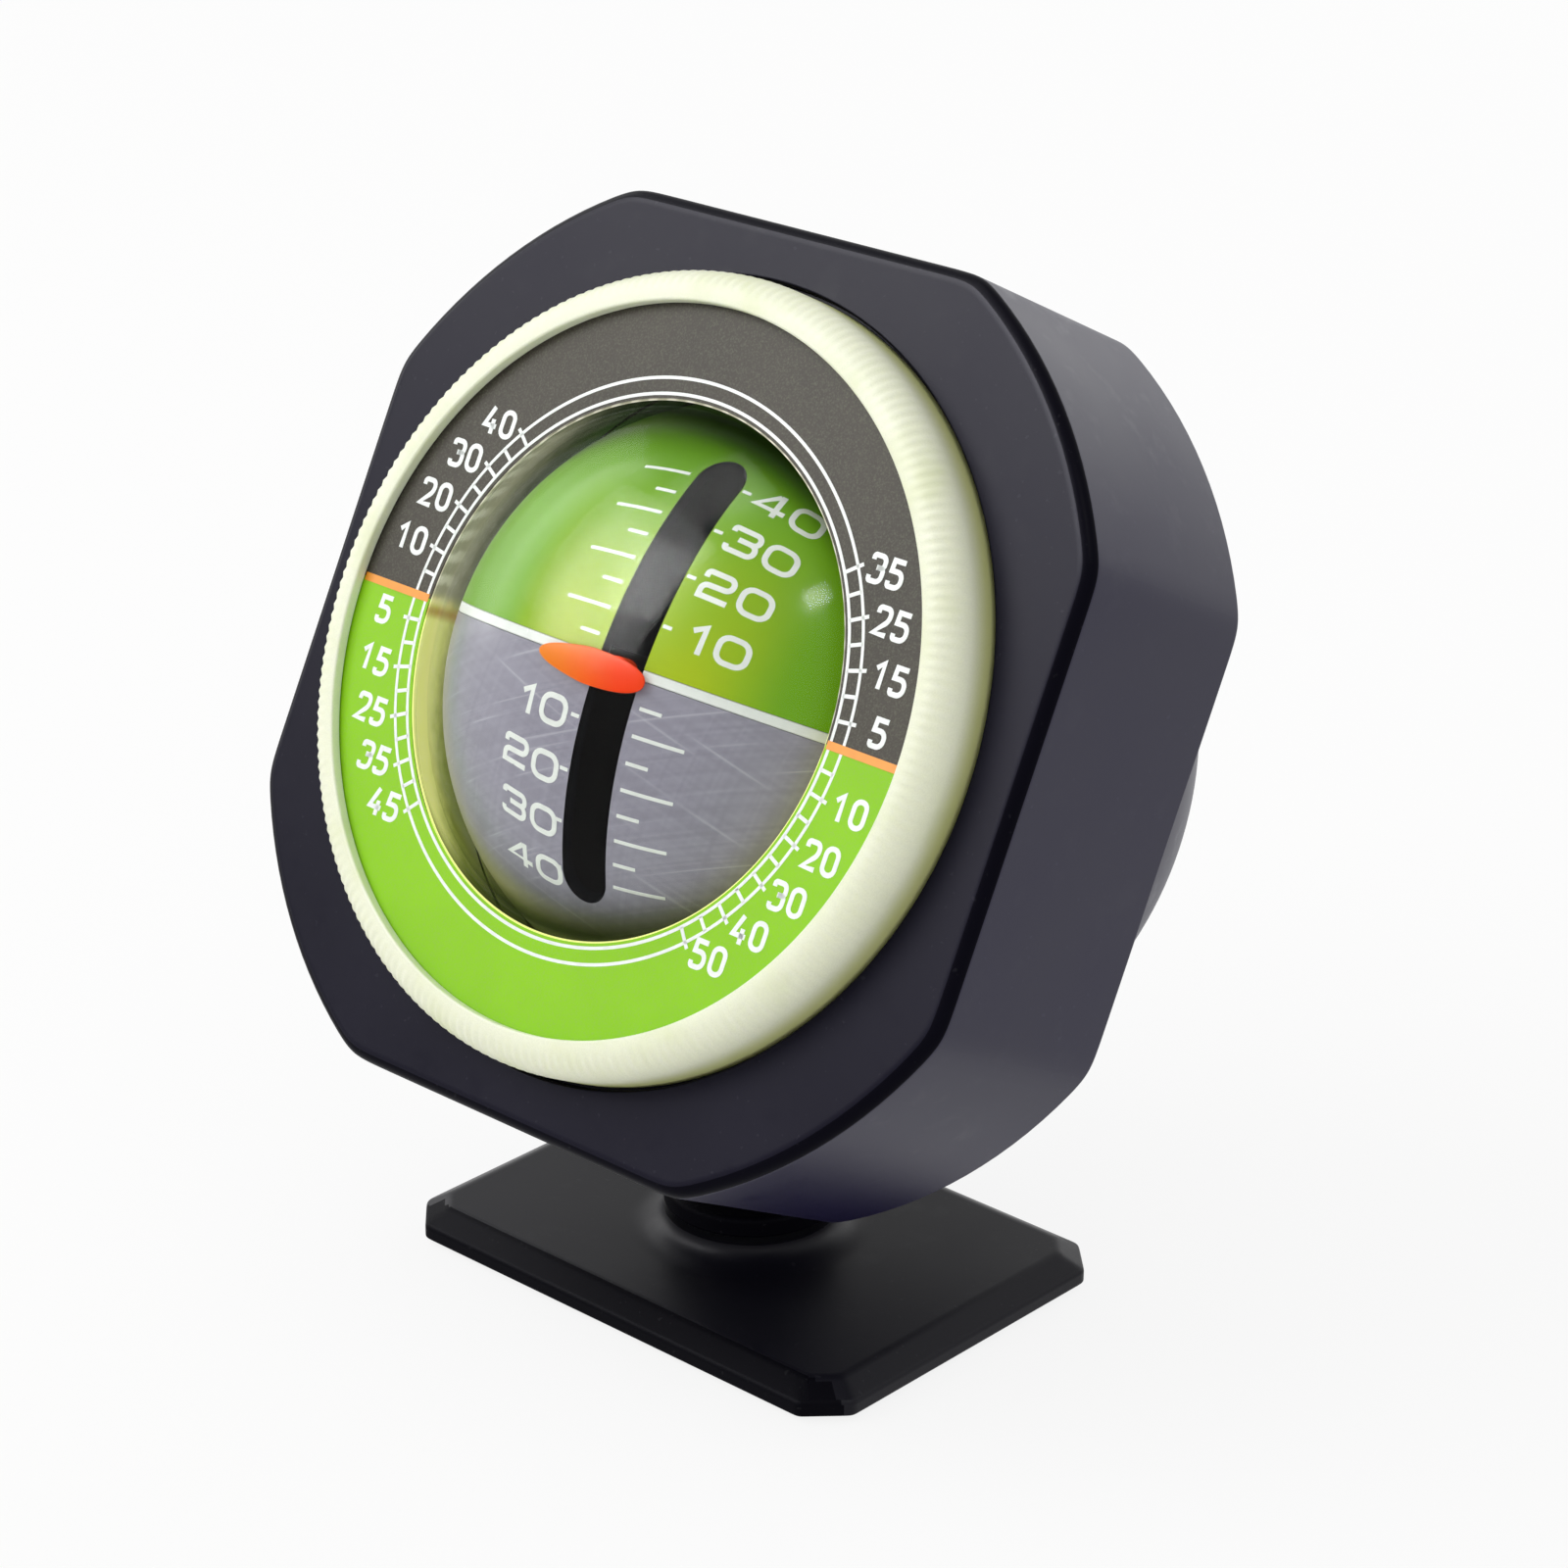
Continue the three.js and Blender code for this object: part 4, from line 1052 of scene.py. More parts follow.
def rear_cover_shape(case):
    """The rear cover: a plate with the case's outline that flows through a fillet into a half
    sphere, with the same sphere hollow inside."""
    angles = case_angles(case)
    front = case.depth - case.cover_thickness
    plate = [(case.cover_inset + FACE_RUN, front), (case.cover_inset, front),
             (case.cover_inset, case.depth), (case.cover_inset + FACE_LEAD, case.depth)]
    plate = softened(plate, [0, COVER_FRONT_SOFT, COVER_BACK_SOFT, 0], 4)
    rise = np.linspace(DOME_START, math.pi / 2, 26)
    dome = np.stack([np.cos(rise), np.sin(rise)], axis=1) * case.dome_radius + [0, case.depth]
    dome[-1, 0] = 0
    foot = [(case.dome_radius + DOME_FOOT_LEAD, case.depth), (case.dome_radius, case.depth),
            tuple(dome[0])]
    foot = softened(foot, [0, DOME_FILLET, 0], 5)[:-1]
    hollow_radius = case.dome_radius - case.dome_wall
    fall = np.linspace(math.pi / 2, 0, 22)
    hollow = np.stack([np.cos(fall), np.sin(fall)], axis=1) * hollow_radius + [0, case.depth]
    hollow[0, 0] = 0
    mouth = [(hollow_radius, front)]
    turned_part = round_loops(angles, np.concatenate([foot, dome, hollow, mouth]))
    return joined_loops(angles, case_loops(case, angles, plate), turned_part)


def screw_places(case):
    """The case screws' places in the head: on the diagonals."""
    turns = np.radians([45, 135, 225, 315])
    return [tuple(place) for place in case.screw_circle * np.column_stack([np.cos(turns), np.sin(turns)])]


def cut(piece, cutter):
    """Takes a closed shape out of a piece, and leaves no modifier."""
    tool = bpy.data.objects.new("cutter", mesh_of("cutter", *cutter))
    bpy.context.scene.collection.objects.link(tool)
    modifier = piece.modifiers.new("Cut", "BOOLEAN")
    modifier.operation = "DIFFERENCE"
    modifier.solver = "EXACT"
    modifier.object = tool
    evaluated = piece.evaluated_get(bpy.context.evaluated_depsgraph_get())
    mesh = bpy.data.meshes.new_from_object(evaluated)
    piece.modifiers.clear()
    piece.data = mesh
    smooth(mesh)
    bpy.data.objects.remove(tool)


# Shares of a screw's head: its recess's depth, how much that narrows and how wide its rim is, the
# flat top's reach, how far the top falls to its edge, and how soft its upper and lower edges are
RECESS_SHARE = 0.55
RECESS_TAPER = 0.72
RECESS_RIM = 1.02
TOP_SHARE = 0.72
TOP_FALL = 0.05
TOP_SOFT = 0.34
HEAD_FOOT_SOFT = 0.05


def screw_shape(head_radius, head_height, shank_radius, shank_length, recess):
    """A pan-head screw with its head's top at depth 0 and its shank along negative depth. recess
    gives the recess's outline at each angle."""
    angles = dense_angles([0, 90, 180, 270], 24, 6, 6)
    drive = recess(angles)
    bottom = -RECESS_SHARE * head_height
    top = np.array([0 * drive, drive * RECESS_TAPER, drive, drive * RECESS_RIM])
    edge = [(head_radius * TOP_SHARE, 0), (head_radius, -TOP_FALL * head_height),
            (head_radius, -head_height), (shank_radius, -head_height), (shank_radius, -shank_length),
            (0, -shank_length - shank_radius)]
    soft = [0, TOP_SOFT * head_height, HEAD_FOOT_SOFT * head_height, 0, 0, 0]
    edge = round_loops(angles, softened(edge, soft, 6))
    return joined_loops(angles, (top, [bottom, bottom, 0, 0]), edge, closed_rows=False)


RIB_COUNT = 216
RIB_HEIGHT = mm(0.045)
GLOW_LIP = mm(0.95)
RIB_SHARP_FROM = math.radians(50)
GLOW_CROWN_HEIGHT = mm(2.9)
GLOW_BACK_AIR = mm(0.15)
GLOW_DIAL_GAP = mm(0.3)
GLOW_TOP_SOFT = mm(0.2)
GLOW_BACK_SOFT = mm(0.1)


def glow_ring_shape(dial):
    """The glowing ring: an elliptical crown over an upright wall, turned about the head's axis,
    with fine ribs: the crown moves in and out by a cosine of the angle."""
    angles = full_turn(4 * RIB_COUNT)
    outer, inner = dial.glow_radius, dial.glow_radius - dial.glow_width
    crown_width = dial.glow_width - GLOW_LIP / 2
    turn = np.linspace(0, math.pi / 2, 15)
    crown_out = outer - crown_width * (1 - np.cos(turn))
    crown_depth = GLOW_CROWN_HEIGHT - dial.glow_height - GLOW_CROWN_HEIGHT * np.sin(turn)
    crown = np.stack([crown_out, crown_depth], axis=1)
    back = RECESS_DEPTH - GLOW_BACK_AIR
    lip = GLOW_LIP - dial.glow_height
    step = dial.dial_radius + GLOW_DIAL_GAP
    inside = [tuple(crown[-1]), (inner, -dial.glow_height), (inner, lip), (step, lip), (step, back),
              (outer, back), tuple(crown[0])]
    inside = softened(inside, [0, GLOW_TOP_SOFT, 0, 0, 0, GLOW_BACK_SOFT, 0], 5)
    profile = np.concatenate([crown, inside[1:-1]])
    ribbed = np.concatenate([np.sin(np.linspace(0, math.pi, 15)) ** 0.6, np.zeros(len(inside) - 2)])
    ripple = RIB_HEIGHT * ribbed[:, None] * np.cos(RIB_COUNT * angles)
    return loft(profile[:, :1] + ripple, profile[:, 1:] - ripple, angles)


DIAL_EDGE = mm(0.04)


def dial_shape(dial, ball):
    """The dial: a flat ring whose hole is the lens's sphere with its clearance."""
    front, back = -dial.dial_depth, dial.dial_thickness - dial.dial_depth
    bore = sphere_bore(ball.lens_radius + LENS_CLEARANCE, CAPSULE_DEPTH, back, front, 4)
    edge = [(bore[-1][0] + DIAL_EDGE, front), (dial.dial_radius, front), (dial.dial_radius, back)]
    return turned(np.concatenate([bore, edge]), 288)


TICK_STEP = 5
LABEL_GAP = mm(0.55)
LABEL_WIDTH = mm(3.5)
# Each side of the dial: its sign, the lowest and the highest tick, and the ticks with a number
DIAL_SIDES = (
    (1, -50, 35, (5, 15, 25, 35, -10, -20, -30, -40, -50)),
    (-1, -45, 40, (10, 20, 30, 40, -5, -15, -25, -35, -45)),
)
DIAL_FIGURE_WIDTH = mm(1.6)
DIAL_FIGURE_STROKE = mm(0.42)
DIAL_FIGURE_GAP = mm(0.3)
TICK_SHARE = 1.15
ZERO_START = mm(21.95)
ZERO_END = mm(29.5)
ZERO_WIDTH = mm(0.68)
ZERO_LIFT = PRINT_LIFT * 1.6


def dial_scale(dial):
    """The dial's white print, in (x, z) with its lift towards the viewer: two circles, ticks every
    5 degrees between them, longer numbered ticks, and the numbers beside those."""
    circle = full_turn(240)
    around = np.stack([np.cos(circle), np.sin(circle)], axis=1)
    bands = [
        ribbon(around * radius, dial.line, closed=True)
        for radius in (dial.inner_circle, dial.outer_circle)
    ]
    for side, lowest, highest, numbered in DIAL_SIDES:
        for tick in range(lowest, highest + TICK_STEP, TICK_STEP):
            if tick == 0:
                continue
            turn = math.radians(tick)
            direction = np.array([side * math.cos(turn), math.sin(turn)])
            end = dial.tick_end if tick in numbered else dial.outer_circle
            start, end = direction * dial.inner_circle, direction * end
            bands.append(straight(start, end, dial.line * TICK_SHARE))
            if tick in numbered:
                centre = direction * dial.tick_end + [side * (LABEL_GAP + LABEL_WIDTH / 2), 0]
                label = figures(str(abs(tick)), NARROW_FIGURES, DIAL_FIGURE_WIDTH, dial.figure_height,
                                DIAL_FIGURE_STROKE, DIAL_FIGURE_GAP)
                bands += [(points + [centre[0], 0, centre[1]], quads) for points, quads in label]
    return bands


def on_dial(dial, bands):
    """Puts print on the dial's front, turned as the dial sits."""
    turn = dial.print_turn
    cosine, sine = math.cos(turn), math.sin(turn)
    done = []
    for points, quads in bands:
        x, lift, z = points.T
        there = np.stack([x * cosine - z * sine, -dial.dial_depth - lift, x * sine + z * cosine], axis=1)
        done.append((HEAD(there), quads))
    return oriented(done)


def oriented(shapes):
    """Each closed shape with its faces out, judged about its own middle."""
    return together([(points, facing_out(points - points.mean(axis=0), quads)) for points, quads in shapes])


FLANGE_BACK = mm(1.9)
FLANGE_FACE = mm(0.5)
FLANGE_RADIUS = mm(30.4)


def lens_shape(ball):
    """The clear front half of the capsule: two spheres a wall apart, with a flange at the open end."""
    inner = ball.lens_radius - ball.lens_wall
    out = np.linspace(-math.pi / 2, -math.asin(FLANGE_BACK / ball.lens_radius), 40)
    into = np.linspace(-math.asin(FLANGE_FACE / inner), -math.pi / 2, 40)
    outside = np.stack([np.cos(out), np.sin(out)], axis=1) * ball.lens_radius
    inside = np.stack([np.cos(into), np.sin(into)], axis=1) * inner
    outside[0, 0] = inside[-1, 0] = 0
    flange = [(FLANGE_RADIUS, -FLANGE_BACK), (FLANGE_RADIUS, -FLANGE_FACE)]
    profile = np.concatenate([outside, flange, inside]) + [0, CAPSULE_DEPTH]
    return turned(profile, 192, closed_rows=False)


LINER_SHARP_FROM = math.radians(60)
# The clear edge's two zones: where each starts and ends, and how far outside the lens its faces lie
LINER_RIM = mm(0.1)
FRONT_ZONE_BACK = mm(9)
FRONT_ZONE_GAPS = (mm(0.22), mm(0.12))
BACK_ZONE = (mm(8.5), mm(11.4), (-mm(0.3), -mm(0.45)))


def liner_shape(dial, ball):
    """The clear edge between the lens and its bore: a thin zone of a sphere about the lens's centre,
    from just inside the dial's front to behind its seat, and a second one in the lens's wall
    behind it. It is a sheet that carries painted refraction, painted shade and a painted glow."""
    zones = []
    for front, back, gaps in ((LINER_RIM - dial.dial_depth, FRONT_ZONE_BACK, FRONT_ZONE_GAPS), BACK_ZONE):
        outer, inner = [
            sphere_bore(ball.lens_radius + gap, CAPSULE_DEPTH, front, back, 26) for gap in gaps
        ]
        zones.append(turned(np.concatenate([outer, inner[::-1]]), 240))
    return together(zones)


# Ball pieces


def slot_rows(ball, start):
    """Pitch angles for the shell's rows, from just over the horizon in front, over the top, to the
    back, and the slot's half width at each. The rows are close where the slot's end is round."""
    reach = ball.radius * math.sin(ball.slot_half_angle)
    straight_end = reach - ball.slot_half_width
    rise = np.linspace(start, straight_end, 14)
    bend = np.linspace(0, math.pi / 2, 11)[1:]
    heights = np.concatenate([rise, straight_end + ball.slot_half_width * np.sin(bend)])
    widths = np.concatenate([0 * rise + ball.slot_half_width, ball.slot_half_width * np.cos(bend)])
    widths[-1] = 0
    pitch = np.arcsin(heights / np.sqrt(ball.radius**2 - widths**2))
    top = np.linspace(pitch[-1], math.pi / 2, 17)[1:]
    front = np.concatenate([pitch, top])
    widths = np.concatenate([widths, 0 * top])
    return np.concatenate([front, math.pi - front[-2::-1]]), np.concatenate([widths, widths[-2::-1]])


# Keeps the last column, in radians, just short of the pitch axis
AXIS_AIR = 1e-5


def ball_shell_shape(ball, up):
    """Half the ball, without the slot. A point at pitch p and side angle q is
    radius * (sin q, -cos q cos p, cos q sin p). Each row runs from the slot's edge to the end of
    the pitch axis, and each column from the horizon in front, over the top, to that at the back."""
    start = ball.horizon + up * ball.horizon_rise
    pitch, widths = slot_rows(ball, start)
    first = pitch[0]
    inner = np.arcsin(widths / ball.radius)[:, None]
    outer = math.acos(start / ball.radius) - AXIS_AIR
    side = inner + (outer - inner) * np.linspace(0, 1, 40)[None, :]
    edge = np.arcsin(np.minimum(start / (ball.radius * np.cos(side)), 1))
    share = ((pitch - first) / (math.pi - 2 * first))[:, None]
    pitch = edge + share * (math.pi - 2 * edge)
    halves = []
    for hand in (1, -1):
        across, forward, rise = hand * np.sin(side), np.cos(side) * np.cos(pitch), np.cos(side) * np.sin(pitch)
        points = ball.radius * np.stack([across, -forward, up * rise], axis=-1)
        halves.append(surface(points, closed_columns=False))
    return together(halves)


HORIZON_AIR = mm(0.03)
HORIZON_SOFT = mm(0.08)


def horizon_shape(ball, side):
    """Half of the plate between the shells: a D that stops at the slot, with a rounded rim."""
    half, soft = ball.horizon - HORIZON_AIR, HORIZON_SOFT
    start = math.acos(ball.slot_half_width / ball.radius)
    turn = np.linspace(-start, start, 97)
    straight_edge = np.linspace(start, -start, 25)[1:-1]
    flat = ball.slot_half_width
    rim = np.stack([np.cos(turn), np.sin(turn)], axis=1) * ball.radius
    chord = np.stack([0 * straight_edge + flat, np.sin(straight_edge) * ball.radius], axis=1)
    outline = np.concatenate([rim, chord])
    centre = np.array([ball.radius / 2, 0])
    inside = 1 - soft / ball.radius
    shares = np.array([0, inside, 1, 1, inside, 0])[:, None, None]
    heights = np.array([-half, -half, soft - half, half - soft, half, half])[:, None] + ball.horizon_rise
    flats = (centre + (outline - centre) * shares) * [side, 1]
    return surface(np.dstack([flats, heights + 0 * flats[..., 0]]))


HUB_BORE = mm(1.3)
HUB_RADIUS = mm(2.7)
HUB_START = mm(4.2)
HUB_FLOOR = mm(8)
HUB_END = mm(9)


def hub_shape(side):
    """The plate's hub: a cup turned about the pitch axis, open to the middle for the axle."""
    hub = [(HUB_BORE, HUB_START), (HUB_RADIUS, HUB_START), (HUB_RADIUS, HUB_END), (0, HUB_END),
           (0, HUB_FLOOR), (HUB_BORE, HUB_FLOOR)]
    points, quads = turned(hub, 32)
    return Place([0, 0, 0], [0, 1, 0], [side, 0, 0], [0, 0, 1])(points), quads


def on_ball(ball, bands):
    """Puts print on the ball: x is measured along the pitch axis, and z along the pitch circle."""
    done = []
    for points, quads in bands:
        x, lift, arc = points.T
        radius = ball.radius + lift
        pitch = arc / ball.radius
        across = np.arcsin(np.clip(x / ball.radius, -1, 1))
        forward = radius * np.cos(across)
        there = [radius * np.sin(across), -forward * np.cos(pitch), forward * np.sin(pitch)]
        done.append((BALL(np.stack(there, axis=1)), quads))
    return oriented(done)


HIGHEST_TICK = 40
BALL_TICK_START = mm(2.65)
BALL_SHORT_TICK = mm(4.5)
BALL_LONG_TICK = mm(6.9)
BALL_LINE = mm(0.3)
BALL_STUB = mm(0.75)
BALL_STUB_GAP = mm(0.15)
BALL_FIGURE_WIDTH = mm(2.75)
BALL_FIGURE_HEIGHT = mm(2.6)
BALL_FIGURE_STROKE = mm(0.46)
BALL_FIGURE_GAP = mm(0.42)
BALL_LABEL_CENTRE = mm(6.3)
LOWER_LABEL_DRIFT = mm(1.3)
LOWER_LABEL_STRETCH = 1.05


def ball_scale(ball):
    """The ball's print: ticks every 5 degrees on the left above and on the right below, with short
    stubs and numbers every 10 degrees on the other side of the slot."""
    bands = []
    for up in (1, -1):
        for tick in range(TICK_STEP, HIGHEST_TICK + TICK_STEP, TICK_STEP):
            arc = up * math.radians(tick) * ball.radius
            end = BALL_LONG_TICK if tick % 10 == 0 else BALL_SHORT_TICK
            bands.append(straight((-up * BALL_TICK_START, arc), (-up * end, arc), BALL_LINE))
            if tick % 10:
                continue
            stub = ball.slot_half_width + BALL_STUB_GAP
            bands.append(straight((up * stub, arc), (up * (stub + BALL_STUB), arc), BALL_LINE))
            label = figures(str(tick), WIDE_FIGURES, BALL_FIGURE_WIDTH, BALL_FIGURE_HEIGHT,
                            BALL_FIGURE_STROKE, BALL_FIGURE_GAP)
            across, along = up * BALL_LABEL_CENTRE, arc
            if up < 0:
                across += LOWER_LABEL_DRIFT * (tick / HIGHEST_TICK) ** 2
                along *= LOWER_LABEL_STRETCH
            bands += [(points + [across, 0, along], quads) for points, quads in label]
    return bands


POINTER_THICKNESS = mm(0.45)


def pointer_shape(ball):
    """The pointer: a drop on a sphere just outside the ball, blunt at the right and pointed at the
    left. At share s of its half length its half height is H (1 - (1 - sqrt(1 - s))^2) on the right
    and H sqrt(1 - s^6) (1 - 0.62 s^2 / (s + 0.15)) on the left, and its section is a rounded box."""
    half_length, half_height = ball.pointer_length / 2, ball.pointer_height / 2
    share = np.sin(np.linspace(-math.pi / 2, math.pi / 2, 41))
    out = np.minimum(np.abs(share), 1)
    taper = np.sqrt(1 - out**6) * (1 - 0.62 * out**2 / (out + 0.15))
    height = np.where(share < 0, taper, 1 - (1 - np.sqrt(1 - out)) ** 2)
    turn = full_turn(28)
    across = np.sign(np.cos(turn)) * np.abs(np.cos(turn)) ** 0.5
    lift = np.sign(np.sin(turn)) * np.abs(np.sin(turn)) ** 0.5
    x = half_length * share[:, None] + 0 * turn - ball.pointer_shift
    z = half_height * height[:, None] * across - ball.pointer_drop
    middle = ball.radius + ball.pointer_air + POINTER_THICKNESS / 2
    radius = middle + POINTER_THICKNESS / 2 * (height[:, None] ** 0.5) * lift * (1 - 0.25 * across**2)
    depth = -np.sqrt(middle**2 - x**2 - z**2)
    points = np.stack([x, depth, z], axis=-1) * (radius / middle)[..., None]
    return surface(points)


COLLAR_BORE = mm(0.86)
COLLAR_RADIUS = mm(1.1)
COLLAR_FLOOR = mm(0.1)
COLLAR_SINK = mm(0.2)


def collar_shape(ball):
    """The pointer's collar: a cup on the stem, from the slot to inside the pointer's blade."""
    back = ball.wall - ball.radius
    front = -(ball.radius + ball.pointer_air + COLLAR_SINK)
    collar = [(COLLAR_BORE, back), (COLLAR_RADIUS, back), (COLLAR_RADIUS, front), (0, front),
              (0, back - COLLAR_FLOOR), (COLLAR_BORE, back - COLLAR_FLOOR)]
    return turned(collar, 28)


# Foot pieces

FOOT_SIDE_BLEND = mm(0.14)
FOOT_RUN = mm(6)
RIM_BOTTOM_SOFT = mm(0.25)
RIM_TOP_SOFT = mm(0.3)
BEVEL_TOP_SOFT = mm(0.45)
PEDESTAL_LEAD = mm(0.3)
PAD_SOFT = mm(0.12)
# How far behind the bevel, and how squarely to the front, a face takes the darker finish, a painted shade
SHADE_PAST_BEVEL = mm(0.5)
SHADE_FACING = 0.2
WASHER_RADIUS = mm(5.9)
WASHER_BOTTOM, WASHER_TOP = mm(5.15), mm(5.55)
WASHER_SOFT = mm(0.08)


def foot_angles(foot):
    """Directions round the foot, closer together at the ends of its cut corners."""
    corners = []
    for x, y in ((foot.half_width, foot.half_depth - foot.corner_cut),
                 (foot.half_width - foot.corner_cut, foot.half_depth)):
        turn = math.degrees(math.atan2(y, x))
        corners += [turn, 180 - turn, 180 + turn, 360 - turn]
    return dense_angles(corners, 2.6, 7, 3)


def foot_outline(foot, angles, inset):
    """The foot's outline, moved in by an inset: a rectangle with its corners cut at 45 degrees."""
    cut_distance = (foot.half_width + foot.half_depth - foot.corner_cut) / math.sqrt(2)
    distances = [foot.half_width, foot.half_depth] * 2 + [cut_distance] * 4
    directions = np.radians([0, 90, 180, 270, 45, 135, 225, 315])
    return half_planes(angles, np.array(distances) - inset, directions, FOOT_SIDE_BLEND)


# The loft's depth axis stands upright here
STANDING = Place([0, 0, 0], [1, 0, 0], [0, 0, 1], [0, 1, 0])


def foot_shape(foot):
    """The foot plate: an upright rim, a bevel to its flat top, and a pedestal whose side is a
    quarter of an ellipse, hollow outwards."""
    angles = foot_angles(foot)
    edge = softened(
        [(FOOT_RUN, foot.pad), (0, foot.pad), (0, foot.pad + foot.rim), (foot.bevel, foot.height),
         (foot.bevel + FACE_LEAD, foot.height)],
        [0, RIM_BOTTOM_SOFT, RIM_TOP_SOFT, BEVEL_TOP_SOFT, 0],
        5,
    )
    outer = np.array([foot_outline(foot, angles, inset) for inset, _ in edge]), edge[:, 1]
    turn = np.linspace(0, math.pi / 2, 12)
    rise, flare = foot.pedestal_height - foot.height, foot.pedestal_foot - foot.pedestal_top
    reach, height = foot.pedestal_foot - flare * np.sin(turn), foot.pedestal_height - rise * np.cos(turn)
    side = np.stack([reach, height], axis=1)
    start = [(foot.pedestal_foot + lead, foot.height) for lead in (FACE_LEAD, PEDESTAL_LEAD)]
    pedestal = round_loops(angles, np.concatenate([start, side, [(0, foot.pedestal_height)]]))
    bottom = round_loops(angles, [(0, foot.pad)])
    return placed(STANDING, joined_loops(angles, bottom, outer, pedestal, closed_rows=False))


def pad_shape(foot):
    """The adhesive pad: the foot's outline with a margin, and soft edges."""
    angles = foot_angles(foot)
    edge = softened(
        [(FOOT_RUN, 0), (foot.pad_margin, 0), (foot.pad_margin, foot.pad), (FOOT_RUN, foot.pad)],
        [0, PAD_SOFT, PAD_SOFT, 0],
        3,
    )
    edge[:, 0] = np.maximum(edge[:, 0], foot.pad_margin)
    loops = np.array([foot_outline(foot, angles, inset) for inset, _ in edge]), edge[:, 1]
    ends = [round_loops(angles, [(0, height)]) for height in (0, foot.pad)]
    return placed(STANDING, joined_loops(angles, ends[0], loops, ends[1], closed_rows=False))


FORK_BOTTOM = mm(5.7)
FORK_TOP = mm(7.5)
EAR_RADIUS = mm(3.2)
EAR_THICKNESS = mm(2)
TONGUE_RADIUS = mm(3)
TONGUE_HALF_WIDTH = mm(2.9)
HINGE_GAP = mm(0.3)
BOLT_RADIUS = mm(1.4)
BOLT_HEAD_RADIUS = mm(2.4)
BOLT_HEAD_HEIGHT = mm(1.2)
BOLT_HEAD_AIR = mm(0.15)
LEVER_SIDE_BLEND = mm(0.02)
LEVER_SOFT = mm(0.35)


def lever_shape(radius, reach, thickness, hole, place, start):
    """A lever about a pivot: a round end, straight sides to a reach, a hole and soft edges. Its
    outline, as a radius, is the nearest of its two sides and its foot on one side, and the round
    end on the other."""
    corners = np.degrees(np.arctan2([radius, -radius], reach)) % 360
    angles = dense_angles([0, 90, 180, 270, *corners], 6, 6, 5)
    sides = half_planes(angles, [radius, radius, reach], np.radians([90, 270, 0]), LEVER_SIDE_BLEND)
    outline = np.where(np.cos(angles) > 0, sides, radius)
    rim = [(radius - hole, 0), (0, 0), (0, thickness), (radius - hole, thickness)]
    rim = softened(rim, [0, LEVER_SOFT, LEVER_SOFT, 0], 5)[1:-1]
    bore = [np.full_like(angles, hole)]
    radii = np.concatenate([bore, outline - rim[:, :1], bore])
    depths = np.concatenate([[0], rim[:, 1], [thickness]]) + start
    return placed(place, loft(radii, depths, angles))


def hinge_place(direction):
    """Axes at the hinge: depth along the hinge, and the first axis along a direction."""
    along = unit(direction)
    return Place(HINGE, along, HEAD_RIGHT, np.cross(along, HEAD_RIGHT))


FORK_BORE = mm(1.8)
FORK_BOTTOM_SOFT = mm(0.2)
FORK_TOP_SOFT = mm(0.45)
EAR_SINK = mm(0.3)


def fork_shapes(foot):
    """The fork: a round disc with two upright ears."""
    disc = [(FORK_BORE, FORK_BOTTOM), (foot.pedestal_top, FORK_BOTTOM), (foot.pedestal_top, FORK_TOP),
            (FORK_BORE, FORK_TOP)]
    disc = softened(disc, [0, FORK_BOTTOM_SOFT, FORK_TOP_SOFT, 0], 5)
    down = hinge_place([0, 0, -1])
    reach = HINGE[2] - FORK_TOP + EAR_SINK
    inner = TONGUE_HALF_WIDTH + HINGE_GAP
    return [placed(STANDING, turned(disc, 96))] + [
        lever_shape(EAR_RADIUS, reach, EAR_THICKNESS, BOLT_RADIUS + HINGE_GAP, down, start)
        for start in (inner, -inner - EAR_THICKNESS)
    ]


DRIVE_HALF_WIDTH = mm(0.32)
SLOT_REACH = mm(1.9)
CROSS_REACH = mm(1.25)
SMALLEST_SINE = 1e-6


def slot_recess(angles):
    """A straight slot across a bolt's head, as a radius: two parallel edges, cut off at a reach."""
    arm = DRIVE_HALF_WIDTH / np.maximum(np.abs(np.sin(angles)), SMALLEST_SINE)
    return np.minimum(arm, SLOT_REACH)


def cross_recess(angles):
    """The outline of a cross with four arms, as a radius: each arm is two parallel edges."""
    turns = angles[None, :] - np.radians([0, 90, 180, 270])[:, None]
    arm = DRIVE_HALF_WIDTH / np.maximum(np.abs(np.sin(turns)), SMALLEST_SINE)
    arm = np.where(np.cos(turns) > 0, np.minimum(arm, CROSS_REACH), 0)
    return arm.max(axis=0)


NUT_SIDE_BLEND = mm(0.03)
NUT_CROWN_SHARE = 0.9
NUT_BORE_AIR = mm(0.1)
NUT_EASE = mm(0.22)


def nut_shape(place, start):
    """The nut: six flats with the corners rounded off at both ends, and its hole."""
    angles = dense_angles([30, 90, 150, 210, 270, 330], 5, 4, 5)
    distance = BOLT_HEAD_RADIUS * math.cos(math.pi / 6)
    flats = half_planes(angles, [distance] * 6, np.radians([0, 60, 120, 180, 240, 300]), NUT_SIDE_BLEND)
    crown = np.minimum(flats, BOLT_HEAD_RADIUS * NUT_CROWN_SHARE)
    hole = np.full_like(angles, BOLT_RADIUS + NUT_BORE_AIR)
    radii = [hole, crown, flats, flats, crown, hole]
    top = BOLT_HEAD_HEIGHT
    depths = np.array([0, 0, NUT_EASE, top - NUT_EASE, top, top]) + start
    return placed(place, loft(radii, depths, angles))


# Stage

# What the camera and the lamps look at
TARGET = np.array([mm(-3.67), mm(7.86), mm(40.56)])


